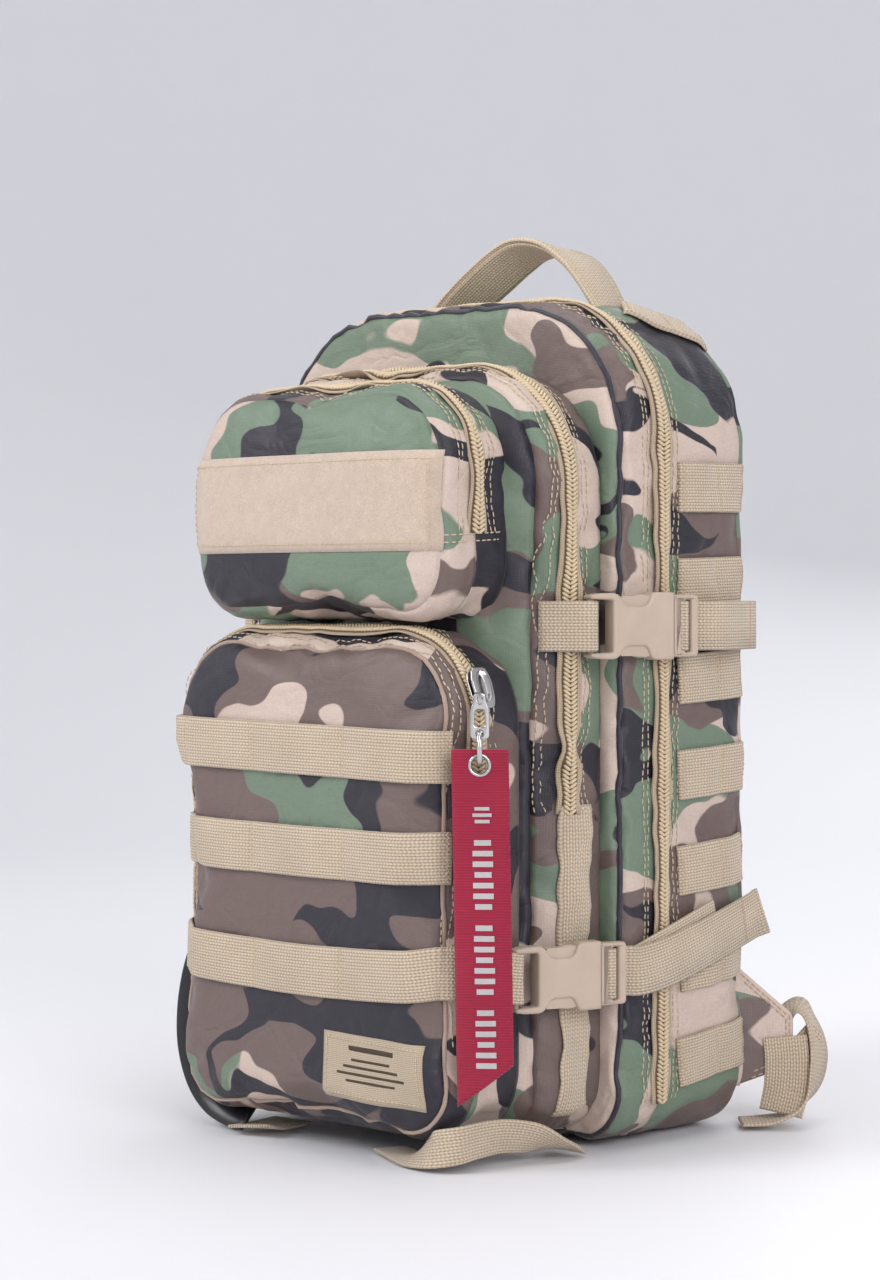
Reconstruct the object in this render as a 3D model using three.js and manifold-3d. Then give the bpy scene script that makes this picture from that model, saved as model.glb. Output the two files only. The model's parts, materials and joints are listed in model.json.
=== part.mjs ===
// A daypack in camouflage cloth, with webbing, side release buckles and zipped compartments.
// Millimetres. +X is to the right as the front is faced, +Y is towards the wearer's back, +Z is up.
// The origin is on the flat bottom, midway across the bag.
import * as THREE from 'three';
import { mergeVertices } from 'three/addons/utils/BufferGeometryUtils.js';
import Module from 'manifold-3d';

const wasm = await Module();
wasm.setup();

// ---- driving dimensions ----
const GAP = 0.3;            // running gap between neighbouring pieces
const WALL = 3;             // cloth, lining and foam together
const SHARPER = 5;          // a tray's inside edge is rounded by this much less than its outside
const WEB = 25;             // width of the webbing
const WEB_THICK = 1.8;
const SPLAY = THREE.MathUtils.degToRad(17);   // buckles turn outward by this much

// outlines of the compartments seen from the front
const MAIN = { half: 124, low: 0, high: 425, topRadius: 75, lowRadius: 30 };
const MAIN_FRONT = { half: 120, low: 0, high: 422, topRadius: 74, lowRadius: 30 };
const MIDDLE = { half: 108, low: 6, high: 388, topRadius: 60, lowRadius: 30 };
const UPPER = { half: 89, low: 260, high: 378, topRadius: 42, lowRadius: 28 };
const LOWER = { half: 97, low: 10, high: 258, topRadius: 45, lowRadius: 32 };

// where each layer starts and ends from front to back
const Y = {
  upperFace: -108, upperZip: -87, upperRing: -75,
  lowerFace: -110, lowerZip: -96, lowerRing: -84,
  middleFace: -58, middleZip: -40, middleRing: -30,
  mainFace: -10, mainZip: 12, mainRing: 26, mainBack: 88, padBack: 98,
};

// lower ends of the zips, and the fold line of the upper pocket's flap
const ZIP_END = { main: 24, middle: 170, upper: 306, lower: 60 };
const FLAP_FOLD = 290;

const BUCKLE = { front: -9, mouth: 40, end: 55, half: 16.5, thick: 9, travel: 24 };
const UPPER_BUCKLE = { x: 118.6, y: -23.4, z: 259 };
const LOWER_BUCKLE = { x: 106.6, y: -65.4, z: 90 };

const FRONT_ROWS = { web_row_top: 199, web_row_middle: 150 };
const BOTTOM_ROW = 95;
const SIDE_ROWS = [328, 280, 232, 184, 136, 88, 40];

const TAG = { x: 107, y: -101, hole: 194.3, low: 33, wide: 27 };
const TAG_FACE = new THREE.Vector3(0.669, -0.743, 0);
const RING_RADIUS = 8;

const STRAP_X = 50;         // middle of each shoulder strap
const STRAP_WIDE = 62;

// ---- materials ----
const finish = (color, roughness = 0.8, metalness = 0) =>
  new THREE.MeshStandardMaterial({ color, roughness, metalness });
const CLOTH = ['#c8b4a3', '#6c8a73', '#685952', '#2a2632'];
const cloth = (tone) => finish(CLOTH[tone], 0.7);
const webbing = () => finish('#d4c0a0', 0.85);
const plastic = () => finish('#ceb8a0', 0.5);
const metal = () => finish('#c8c8ca', 0.25, 1);
const bronze = () => finish('#4a4038', 0.4, 0.8);
const mesh = () => finish('#d6b6a2', 0.9);

// ---- solids ----
function solidOf(geometry) {
  const bare = geometry.clone();
  bare.deleteAttribute('normal');
  bare.deleteAttribute('uv');
  const merged = mergeVertices(bare, 1e-4);
  return new wasm.Manifold(new wasm.Mesh({
    numProp: 3,
    vertProperties: new Float32Array(merged.attributes.position.array),
    triVerts: new Uint32Array(merged.index.array),
  }));
}

function geometryOf(solid) {
  const out = solid.getMesh();
  const geometry = new THREE.BufferGeometry();
  geometry.setAttribute('position', new THREE.BufferAttribute(out.vertProperties, 3));
  geometry.setIndex(new THREE.BufferAttribute(out.triVerts, 1));
  geometry.computeVertexNormals();
  return geometry;
}

// a block between two corners
function block(low, high) {
  const size = high.map((value, i) => value - low[i]);
  const centre = high.map((value, i) => (value + low[i]) / 2);
  return solidOf(new THREE.BoxGeometry(...size).translate(...centre));
}

// a rounded outline seen from the front, drawn inset by `inset`
function outline({ half, low, high, topRadius, lowRadius }, inset = 0) {
  const h = half - inset;
  const bottom = low + inset;
  const top = high - inset;
  const rt = topRadius - inset;
  const rb = lowRadius - inset;
  const shape = new THREE.Shape();
  shape.moveTo(-h + rb, bottom);
  shape.lineTo(h - rb, bottom);
  shape.absarc(h - rb, bottom + rb, rb, -Math.PI / 2, 0);
  shape.lineTo(h, top - rt);
  shape.absarc(h - rt, top - rt, rt, 0, Math.PI / 2);
  shape.lineTo(-h + rt, top);
  shape.absarc(-h + rt, top - rt, rt, Math.PI / 2, Math.PI);
  shape.lineTo(-h, bottom + rb);
  shape.absarc(-h + rb, bottom + rb, rb, Math.PI, Math.PI * 1.5);
  return shape;
}

// an outline in X and Z, carried from yFront to yBack
function slab(shape, yFront, yBack) {
  const depth = yBack - yFront;
  const geometry = new THREE.ExtrudeGeometry(shape, { depth, bevelEnabled: false, curveSegments: 4 });
  return solidOf(geometry.rotateX(Math.PI / 2).translate(0, yBack, 0));
}

// the same with its front edge rounded over by `round`
function pillow(shape, yFront, yBack, round) {
  const options = {
    depth: 2 * (yBack - yFront - round), curveSegments: 4, bevelEnabled: true,
    bevelThickness: round, bevelSize: round, bevelOffset: -round, bevelSegments: 3,
  };
  const geometry = new THREE.ExtrudeGeometry(shape, options);
  geometry.rotateX(Math.PI / 2).translate(0, 2 * yBack - yFront - round, 0);
  return solidOf(geometry).intersect(block([-300, yFront - 1, -100], [300, yBack, 600]));
}

// a band of cloth that follows an outline, open to the front and back
function band(form, yFront, yBack, wall = WALL) {
  const inside = slab(outline(form, wall), yFront - 1, yBack + 1);
  return slab(outline(form), yFront, yBack).subtract(inside);
}

// a tray of cloth with a closed, rounded front and an open back
function tray(form, yFront, yBack, round) {
  const inside = pillow(outline(form, WALL), yFront + WALL, yBack + 1, round - SHARPER);
  return pillow(outline(form), yFront, yBack, round).subtract(inside);
}

const above = (z) => block([-300, -300, z], [300, 300, 600]);
const below = (z) => block([-300, -300, -100], [300, 300, z]);

// a zip: its tape round the top and sides, with the raised coil along the middle
function zip(form, yFront, yBack, end) {
  const middle = (yFront + yBack) / 2;
  const raised = { ...form, half: form.half + 2, high: form.high + 2, topRadius: form.topRadius + 2 };
  const tape = band(form, yFront, yBack, 2);
  const coil = band(raised, middle - 3, middle + 3, 3);
  return tape.add(coil).intersect(above(end));
}

// a strap seen edge on: its middle line in X and Y, carried upward by its width
function edgeStrap(points, zMiddle, wide = WEB, thick = WEB_THICK) {
  const line = points.map(([x, y]) => new THREE.Vector2(x, y));
  const sides = line.map((point, i) => {
    const before = line[Math.max(i - 1, 0)];
    const after = line[Math.min(i + 1, line.length - 1)];
    const along = after.clone().sub(before).normalize();
    return new THREE.Vector2(-along.y, along.x).multiplyScalar(thick / 2);
  });
  const left = line.map((point, i) => point.clone().add(sides[i]));
  const right = line.map((point, i) => point.clone().sub(sides[i])).reverse();
  const shape = new THREE.Shape([...left, ...right]);
  const geometry = new THREE.ExtrudeGeometry(shape, { depth: wide, bevelEnabled: false });
  return solidOf(geometry.translate(0, 0, zMiddle - wide / 2));
}

// a strap through points in space, whose face turns from one direction to another on the way
function ribbon(points, faceStart, faceEnd, wide, thick, steps = 14) {
  const curve = new THREE.CatmullRomCurve3(points.map((p) => new THREE.Vector3(...p)));
  const positions = [];
  const index = [];
  for (let i = 0; i <= steps; i += 1) {
    const centre = curve.getPoint(i / steps);
    const along = curve.getTangent(i / steps);
    const face = new THREE.Vector3(...faceStart).lerp(new THREE.Vector3(...faceEnd), i / steps);
    const across = new THREE.Vector3().crossVectors(along, face).normalize();
    const outward = new THREE.Vector3().crossVectors(across, along).normalize();
    for (const [a, b] of [[-1, -1], [1, -1], [1, 1], [-1, 1]]) {
      const corner = centre.clone();
      corner.addScaledVector(across, (a * wide) / 2).addScaledVector(outward, (b * thick) / 2);
      positions.push(corner.x, corner.y, corner.z);
    }
  }
  for (let i = 0; i < steps; i += 1) {
    for (let k = 0; k < 4; k += 1) {
      const a = i * 4 + k;
      const b = i * 4 + ((k + 1) % 4);
      index.push(a, b + 4, b, a, a + 4, b + 4);
    }
  }
  const last = steps * 4;
  index.push(0, 1, 2, 0, 2, 3, last, last + 2, last + 1, last, last + 3, last + 2);
  const geometry = new THREE.BufferGeometry();
  geometry.setAttribute('position', new THREE.Float32BufferAttribute(positions, 3));
  geometry.setIndex(index);
  return solidOf(geometry);
}

// a flat plate from an outline in X and Z, centred on y = 0
function plate(points, thick, holes = []) {
  const shape = new THREE.Shape(points.map(([x, z]) => new THREE.Vector2(x, z)));
  for (const [x, z, radius] of holes) {
    shape.holes.push(new THREE.Path().absarc(x, z, radius, 0, Math.PI * 2));
  }
  const geometry = new THREE.ExtrudeGeometry(shape, { depth: thick, bevelEnabled: false, curveSegments: 8 });
  return solidOf(geometry.rotateX(Math.PI / 2).translate(0, thick / 2, 0));
}

const rectangle = (x0, z0, x1, z1) => [[x0, z0], [x1, z0], [x1, z1], [x0, z1]];

// ---- the assembly ----
const group = new THREE.Group();

function add(parent, name, solid, material) {
  const piece = new THREE.Mesh(geometryOf(solid), material);
  piece.name = name;
  parent.add(piece);
  return piece;
}

// each side of the bag is built once and mirrored
const SIDES = { right: 1, left: -1 };

function sideGroup(sign) {
  const side = new THREE.Group();
  side.scale.x = sign;
  group.add(side);
  return side;
}

function addMainCompartment() {
  const rear = slab(outline(MAIN), Y.mainRing, Y.mainBack);
  const room = slab(outline(MAIN, WALL), Y.mainRing - 1, Y.mainBack - WALL);
  add(group, 'rear_gusset', rear.subtract(room), cloth(0));

  const underZip = band(MAIN_FRONT, Y.mainZip - 1, Y.mainRing - GAP);
  const front = tray(MAIN_FRONT, Y.mainFace, Y.mainZip - GAP, 8);
  add(group, 'main_front_panel', front.add(underZip.intersect(below(ZIP_END.main - GAP))), cloth(3));
  const zipForm = { ...MAIN_FRONT, half: 121, high: 423 };
  add(group, 'main_zipper', zip(zipForm, Y.mainZip, Y.mainRing - GAP, ZIP_END.main), webbing());

  const pad = new THREE.ExtrudeGeometry(
    outline({ half: 105, low: 30, high: 400, topRadius: 60, lowRadius: 40 }),
    { depth: 4, bevelThickness: 2.8, bevelSize: 3, bevelOffset: -3, bevelSegments: 2, curveSegments: 4 },
  );
  pad.rotateX(Math.PI / 2).translate(0, Y.padBack - 2.8, 0);
  add(group, 'back_pad', solidOf(pad), mesh());
}

function addMiddleCompartment() {
  const front = tray(MIDDLE, Y.middleFace, Y.middleZip - GAP, 16);
  const underZip = band(MIDDLE, Y.middleZip - 1, Y.middleRing - GAP).intersect(below(ZIP_END.middle - GAP));
  add(group, 'middle_front_panel', front.add(underZip), cloth(1));
  add(group, 'middle_zipper', zip(MIDDLE, Y.middleZip, Y.middleRing - GAP, ZIP_END.middle), webbing());
  add(group, 'middle_gusset', band(MIDDLE, Y.middleRing, Y.mainFace - GAP), cloth(2));
}

function addUpperPocket() {
  add(group, 'upper_pocket_gusset', band(UPPER, Y.upperRing, Y.middleFace - GAP), cloth(3));
  add(group, 'upper_zipper', zip(UPPER, Y.upperZip, Y.upperRing - GAP, ZIP_END.upper), webbing());
  const front = tray(UPPER, Y.upperFace, Y.upperZip - GAP, 15);
  const underZip = band(UPPER, Y.upperZip - 1, Y.upperRing - GAP).intersect(below(ZIP_END.upper - GAP));
  const base = front.intersect(below(FLAP_FOLD)).add(underZip);
  add(group, 'upper_pocket_base', base, cloth(2));
  const flap = front.intersect(above(FLAP_FOLD + GAP));
  add(group, 'upper_pocket_flap', flap.intersect(block([-300, -300, 0], [300, -88, 600])), cloth(1));
}

function addLowerPocket() {
  add(group, 'lower_pocket_gusset', band(LOWER, Y.lowerRing, Y.middleFace - GAP), cloth(0));
  add(group, 'lower_zipper', zip(LOWER, Y.lowerZip, Y.lowerRing - GAP, ZIP_END.lower), webbing());
  const underZip = band(LOWER, Y.lowerZip - 1, Y.lowerRing - GAP).intersect(below(ZIP_END.lower - GAP));
  const front = tray(LOWER, Y.lowerFace, Y.lowerZip - GAP, 13);
  add(group, 'lower_pocket_front', front.add(underZip), cloth(2));

  // the rows follow the face and bend round its rounded corners
  const round = 13;
  const corner = (degrees) => {
    const angle = THREE.MathUtils.degToRad(degrees);
    const reach = round + 1.6;
    const middle = [LOWER.half - round, Y.lowerFace + round];
    return [middle[0] + reach * Math.cos(angle), middle[1] + reach * Math.sin(angle)];
  };
  const mirrored = (right) => [...right.map(([x, y]) => [-x, y]).reverse(), ...right];
  for (const [name, z] of Object.entries(FRONT_ROWS)) {
    add(group, name, edgeStrap(mirrored([-90, -75, -60, -45].map(corner)), z), webbing());
  }
  // the bottom row runs on round both corners to the lower buckles
  const end = alongBuckle(LOWER_BUCKLE, BUCKLE.front - 1);
  const right = [...[-90, -70, -50, -30, -10].map(corner), [101.2, Y.lowerFace + 17], end];
  add(group, 'web_row_bottom', edgeStrap(mirrored(right), BOTTOM_ROW), webbing());
}

// ---- side release buckle: along local X towards the rear, local Y inward, local Z up ----
function socketSolid() {
  const { front, mouth, half, thick } = BUCKLE;
  const shell = plate([
    [front, -14], [front + 2, -half], [mouth - 2, -half], [mouth, -half + 2],
    [mouth, half - 2], [mouth - 2, half], [front + 2, half], [front, 14],
  ], thick);
  const room = block([8, -2.6, -14.9], [mouth + 1, 2.6, 14.9]);
  const window = block([13, -2.6, -20], [30, 2.6, 20]);
  const strapSlot = block([front + 3, -10, -13], [front + 7, 10, 13]);
  return shell.subtract(room).subtract(window).subtract(strapSlot);
}

function plugSolid() {
  const { mouth, end, half } = BUCKLE;
  const base = plate([
    [mouth + 0.4, -half + 1], [end - 2, -half + 1], [end, -half + 3],
    [end, half - 3], [end - 2, half - 1], [mouth + 0.4, half - 1],
  ], 6);
  const tongue = block([16, -2, -2.5], [mouth + 1, 2, 2.5]);
  const strapSlot = block([end - 9, -10, -13], [end - 4, 10, 13]);
  return base.add(tongue).subtract(strapSlot);
}

function prongSolid() {
  return plate([[39.8, 6], [39.8, 10], [27, 14.5], [14, 14.5], [12, 11], [22, 9.4], [31, 8]], 4);
}

function addBuckle(side, place, where) {
  const frame = new THREE.Group();
  frame.position.set(place.x, place.y, place.z);
  frame.rotation.z = Math.PI / 2 - SPLAY;
  side.add(frame);
  add(frame, `${where}_socket`, socketSolid(), plastic());
  add(frame, `${where}_plug`, plugSolid(), plastic());
  for (const [name, sign] of [['top', 1], ['bottom', -1]]) {
    const arm = new THREE.Group();
    arm.scale.z = sign;
    frame.add(arm);
    add(arm, `${where}_prong_${name}`, prongSolid(), plastic());
  }
}

// a point on a buckle's own middle line
function alongBuckle(place, distance) {
  return [place.x + distance * Math.sin(SPLAY), place.y + distance * Math.cos(SPLAY)];
}

function addCompressionStraps() {
  for (const [word, sign] of Object.entries(SIDES)) {
    const side = sideGroup(sign);
    addBuckle(side, UPPER_BUCKLE, `upper_${word}`);
    addBuckle(side, LOWER_BUCKLE, `lower_${word}`);

    const upperStart = alongBuckle(UPPER_BUCKLE, -10);
    const upperFront = [[109.4, -45], [111.6, -41], upperStart];
    add(side, `upper_front_strap_${word}`, edgeStrap(upperFront, UPPER_BUCKLE.z), webbing());

    const free = BUCKLE.end + BUCKLE.travel + 0.5;
    const upperRear = [alongBuckle(UPPER_BUCKLE, free), [138, 66], [129.5, 82], [128.4, 88]];
    add(side, `upper_rear_strap_${word}`, edgeStrap(upperRear, UPPER_BUCKLE.z), webbing());
    const [x, y] = alongBuckle(LOWER_BUCKLE, free + 3);
    const lowerRear = [[x, y, 93], [130.5, 30, 97], [129, 60, 104], [128.4, 88, 111]];
    const out = [1, 0, 0];
    add(side, `lower_rear_strap_${word}`, ribbon(lowerRear, out, out, WEB, WEB_THICK, 6), webbing());
  }
}

// seven rows of webbing sewn on each side through one backing
function addSideWebbing() {
  for (const [word, sign] of Object.entries(SIDES)) {
    let rows = block([124.3, 33, 34], [125.1, 87, 336]);
    for (const z of SIDE_ROWS) {
      rows = rows.add(block([124.8, 31, z - WEB / 2], [126.7, 87.7, z + WEB / 2]));
    }
    add(sideGroup(sign), `side_webbing_${word}`, rows, webbing());
  }
}

// ---- zip sliders and pulls ----
// a slider seen with its length along Z and its outer face towards +X
function sliderSolid() {
  const body = plate([[0, -6], [2.6, -7], [4, -4], [4, 5], [2.6, 7], [0, 7]], 9);
  return body.add(plate([[3, -2], [5.6, -1], [5.6, 3], [3, 4]], 3));
}

function pullSolid(long, wide) {
  const w = wide / 2;
  return plate([[-w + 1, -long], [w - 1, -long], [w, -long + 2], [w * 0.8, 0], [-w * 0.8, 0], [-w, -long + 2]], 1.6,
    [[0, -long + 3.4, 1.8]]);
}

// sliders of the left side: x is the outside of the coil, z the slider's middle
const LEFT_SLIDERS = {
  main: { x: 123.4, y: 18.9, z: 145 },
  middle: { x: 110.4, y: -35.1, z: 180 },
  upper: { x: 91.4, y: -81.1, z: 315 },
};

function addLeftSliders() {
  for (const [name, place] of Object.entries(LEFT_SLIDERS)) {
    const frame = new THREE.Group();
    frame.position.set(-place.x, place.y, place.z);
    frame.rotation.z = Math.PI;
    group.add(frame);
    add(frame, `${name}_slider`, sliderSolid(), bronze());
    const pull = new THREE.Group();
    pull.position.set(7, 0, 0);
    pull.rotation.z = Math.PI / 2;
    frame.add(pull);
    add(pull, `${name}_pull`, pullSolid(22, 7), bronze());
  }
}

// the lower pocket's slider rests on the right corner of its arch, with the tag on its pull
function addLowerSlider() {
  const angle = THREE.MathUtils.degToRad(20);
  const radius = LOWER.topRadius + 2.4;
  const centre = [LOWER.half - LOWER.topRadius, LOWER.high - LOWER.topRadius];
  const slider = new THREE.Group();
  slider.position.set(
    centre[0] + radius * Math.cos(angle),
    (Y.lowerZip + Y.lowerRing) / 2,
    centre[1] + radius * Math.sin(angle),
  );
  slider.rotation.y = -angle;
  group.add(slider);
  add(slider, 'lower_slider', sliderSolid(), metal());

  const hanging = new THREE.Group();
  hanging.position.set(TAG.x, TAG.y, TAG.hole);
  hanging.rotation.z = Math.atan2(TAG_FACE.y, TAG_FACE.x) + Math.PI / 2;
  group.add(hanging);
  const pull = new THREE.Group();
  pull.position.set(0, 0, 2 * RING_RADIUS + 16.6);
  hanging.add(pull);
  add(pull, 'lower_pull', pullSolid(20, 9), metal());
  const ring = new THREE.TorusGeometry(RING_RADIUS, 0.9, 6, 20);
  ring.rotateY(Math.PI / 2).translate(0, 0, RING_RADIUS);
  add(hanging, 'tag_ring', solidOf(ring), metal());
  const w = TAG.wide / 2;
  const drop = TAG.low - TAG.hole;
  const tag = plate([[-w, 7.5], [-w, drop], [w, drop + 20], [w, 7.5]], 1.2, [[0, 0, 2.6]]);
  add(hanging, 'tag', tag, finish('#c61c48', 0.6));
}

// ---- carrying ----
function addHandle() {
  const arch = [
    [-72, 50, 432], [-64, 50, 437], [-38, 50, 451], [0, 50, 458], [38, 50, 451], [64, 50, 437], [72, 50, 432],
  ];
  const up = [0, 0, 1];
  add(group, 'carry_handle', ribbon(arch, up, up, 24, 3.6, 18), webbing());
}

function addShoulderStraps() {
  for (const [word, sign] of Object.entries(SIDES)) {
    const side = sideGroup(sign);
    const line = [[103.5, 392], [113, 368], [124, 320], [129, 260], [127, 205], [120, 152]];
    const path = line.map(([y, z]) => [STRAP_X, y, z]);
    const back = [0, 1, 0];
    add(side, `shoulder_strap_${word}`, ribbon(path, back, back, STRAP_WIDE, 8, 12), cloth(0));

    const lock = new THREE.Group();
    lock.position.set(STRAP_X, 118.5, 138);
    side.add(lock);
    const body = plate(rectangle(-17, -11, 17, 11), 5);
    const slots = [[-7, -3], [1, 5]].map(([low, high]) => block([-13, -5, low], [13, 5, high]));
    add(lock, `ladder_lock_${word}`, slots.reduce((solid, slot) => solid.subtract(slot), body), plastic());

    const web = [[50, 119, 121], [56, 123, 98], [82, 130, 60], [112, 127, 30], [144.5, 108.5, 44]];
    add(side, `adjuster_web_${word}`, ribbon(web, back, [0.46, 0.88, 0], WEB, WEB_THICK), webbing());

    // the cloth tab that joins the web to the bottom corner points out and back
    const tab = new THREE.Group();
    tab.position.set(124.6, 88.6, 0);
    tab.rotation.z = Math.PI / 4;
    side.add(tab);
    const sheet = plate([[0.5, 24], [24, 33], [24, 57], [0.5, 80]], 3);
    add(tab, `corner_tab_${word}`, sheet, cloth(1));
  }
}

addMainCompartment();
addMiddleCompartment();
addUpperPocket();
addLowerPocket();
addCompressionStraps();
addSideWebbing();
addLeftSliders();
addLowerSlider();
addHandle();
addShoulderStraps();

export default group;
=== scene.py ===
"""A camouflage daypack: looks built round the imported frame. Metres, front towards -Y, +Z up."""
import bmesh
import bpy
import json
import math
import random
import numpy as np
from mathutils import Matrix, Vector, noise
from mathutils.bvhtree import BVHTree


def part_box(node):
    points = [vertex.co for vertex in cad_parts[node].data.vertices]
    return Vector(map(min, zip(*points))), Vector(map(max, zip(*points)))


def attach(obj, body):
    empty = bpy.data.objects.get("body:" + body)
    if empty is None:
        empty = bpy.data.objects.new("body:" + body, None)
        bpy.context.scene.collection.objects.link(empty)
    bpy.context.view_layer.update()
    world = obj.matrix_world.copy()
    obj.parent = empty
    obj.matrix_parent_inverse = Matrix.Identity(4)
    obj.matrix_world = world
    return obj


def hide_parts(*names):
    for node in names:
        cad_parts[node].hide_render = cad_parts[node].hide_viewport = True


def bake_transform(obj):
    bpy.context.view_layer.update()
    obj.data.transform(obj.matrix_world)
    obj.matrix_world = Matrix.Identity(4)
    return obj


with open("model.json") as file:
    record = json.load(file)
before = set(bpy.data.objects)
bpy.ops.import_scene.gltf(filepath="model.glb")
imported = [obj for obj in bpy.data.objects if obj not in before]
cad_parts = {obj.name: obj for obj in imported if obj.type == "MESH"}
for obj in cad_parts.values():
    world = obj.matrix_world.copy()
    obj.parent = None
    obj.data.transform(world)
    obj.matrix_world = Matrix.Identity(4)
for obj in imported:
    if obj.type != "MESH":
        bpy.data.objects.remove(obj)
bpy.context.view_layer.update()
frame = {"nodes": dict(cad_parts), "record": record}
scene = bpy.context.scene
random.seed(7)
MM = 0.001



def ring_faces(rings, sides):
    """The quads between closed rings of points that follow each other."""
    return [(a + k, a + (k + 1) % sides, a + sides + (k + 1) % sides, a + sides + k)
            for a in range(0, (rings - 1) * sides, sides) for k in range(sides)]


def end_faces(rings, sides):
    """The two caps that close a tube of rings."""
    return [tuple(range(sides - 1, -1, -1)), tuple((rings - 1) * sides + k for k in range(sides))]


# ---------------------------------------------------------------- camera, light and floor
VIEW = math.radians(42)
AIM = Vector((0, -0.010, 0.251))
DISTANCE = 1.45


def make_camera():
    data = bpy.data.cameras.new("camera")
    data.lens = 78.75
    camera = bpy.data.objects.new("camera", data)
    scene.collection.objects.link(camera)
    camera.location = AIM + DISTANCE * Vector((math.sin(VIEW), -math.cos(VIEW), 0.0145))
    camera.rotation_euler = (AIM - camera.location).to_track_quat("-Z", "Y").to_euler()
    scene.camera = camera


def make_light(name, place, size, power):
    data = bpy.data.lights.new(name, "AREA")
    data.size = size
    data.energy = power
    lamp = bpy.data.objects.new(name, data)
    scene.collection.objects.link(lamp)
    lamp.location = place
    lamp.rotation_euler = (Vector((0, 0, 0.2)) - lamp.location).to_track_quat("-Z", "Y").to_euler()


def make_studio():
    for lamp in (("key", (-0.9, -1.7, 1.5), 1.0, 25), ("side", (1.9, -0.9, 1.1), 1.2, 21),
                 ("top", (0.2, 0.2, 2.2), 1.4, 14), ("back", (-0.6, 1.9, 1.2), 1.4, 10)):
        make_light(*lamp)
    world = bpy.data.worlds.new("studio")
    world.use_nodes = True
    back = world.node_tree.nodes["Background"]
    back.inputs["Color"].default_value = (0.86, 0.86, 0.88, 1)
    back.inputs["Strength"].default_value = 0.50
    scene.world = world
    scene.view_settings.view_transform = "Standard"
    make_sweep()


def make_sweep():
    """A pale floor that curves up into a wall all round, far from the bag."""
    rows = [(0.001, 0.0), (1.6, 0.0)]
    rows += [(1.6 + 1.4 * math.sin(t), 1.4 * (1 - math.cos(t))) for t in np.linspace(0.15, math.pi / 2, 10)]
    rows.append((3.0, 4.5))
    turns = 48
    points = [(radius * math.cos(angle), radius * math.sin(angle), z) for radius, z in rows
              for angle in (2 * math.pi * k / turns for k in range(turns))]
    mesh = bpy.data.meshes.new("floor")
    mesh.from_pydata(points, [], ring_faces(len(rows), turns))
    mesh.polygons.foreach_set("use_smooth", [True] * len(mesh.polygons))
    floor = bpy.data.objects.new("floor", mesh)
    scene.collection.objects.link(floor)
    floor.data.materials.append(plain_material("floor", (0.80, 0.80, 0.83), 0.6))


# ---------------------------------------------------------------- materials
def linear(*srgb):
    """A colour given in 0-255 sRGB as linear RGBA."""
    out = []
    for value in srgb:
        c = value / 255
        out.append(c / 12.92 if c <= 0.04045 else ((c + 0.055) / 1.055) ** 2.4)
    return (*out, 1)


class Shader:
    """A small helper that adds and joins shader nodes."""

    def __init__(self, name):
        self.material = bpy.data.materials.new(name)
        self.material.use_nodes = True
        self.tree = self.material.node_tree
        self.surface = self.tree.nodes["Principled BSDF"]

    def add(self, kind, inputs=None, **settings):
        node = self.tree.nodes.new(kind)
        for key, value in settings.items():
            setattr(node, key, value)
        for key, value in (inputs or {}).items():
            self.put(node.inputs[key], value)
        return node

    def put(self, socket, value):
        if isinstance(value, bpy.types.NodeSocket):
            self.tree.links.new(value, socket)
        else:
            socket.default_value = value

    def coord(self):
        return self.add("ShaderNodeTexCoord").outputs["Object"]

    def math(self, operation, a, b=0.0):
        return self.add("ShaderNodeMath", {0: a, 1: b}, operation=operation).outputs[0]

    def vector(self, operation, a, b):
        inputs = {0: a, "Scale" if operation == "SCALE" else 1: b}
        return self.add("ShaderNodeVectorMath", inputs, operation=operation).outputs[0]

    def mix(self, factor, a, b, blend="MIX"):
        node = self.add("ShaderNodeMix", data_type="RGBA", blend_type=blend)
        self.put(node.inputs[0], factor)
        self.put(node.inputs[6], a)
        self.put(node.inputs[7], b)
        return node.outputs[2]

    def noise(self, where, scale, detail=2.0, rough=0.5, distortion=0.0):
        inputs = {"Vector": where, "Scale": scale, "Detail": detail, "Roughness": rough,
                  "Distortion": distortion}
        return self.add("ShaderNodeTexNoise", inputs).outputs["Fac"]

    def ramp(self, value, low, high):
        inputs = {"Value": value, "From Min": low, "From Max": high}
        return self.add("ShaderNodeMapRange", inputs).outputs["Result"]

    def bump(self, height, strength, distance, below=None):
        inputs = {"Height": height, "Strength": strength, "Distance": distance}
        if below is not None:
            inputs["Normal"] = below
        return self.add("ShaderNodeBump", inputs).outputs["Normal"]

    def set(self, **values):
        for key, value in values.items():
            self.put(self.surface.inputs[key.replace("_", " ")], value)


def toned(colour, share, lift=0.0):
    """A colour made darker or lighter, as linear RGBA."""
    return tuple(min(c * share + lift, 1) for c in colour[:3]) + (1,)


def plain_material(name, colour, roughness):
    s = Shader(name)
    s.set(Roughness=roughness)
    s.surface.inputs["Base Color"].default_value = (*colour, 1)
    return s.material


TAN = linear(206, 186, 173)
GREEN = linear(112, 130, 110)
BROWN = linear(110, 93, 88)
NAVY = linear(34, 30, 41)


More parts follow.
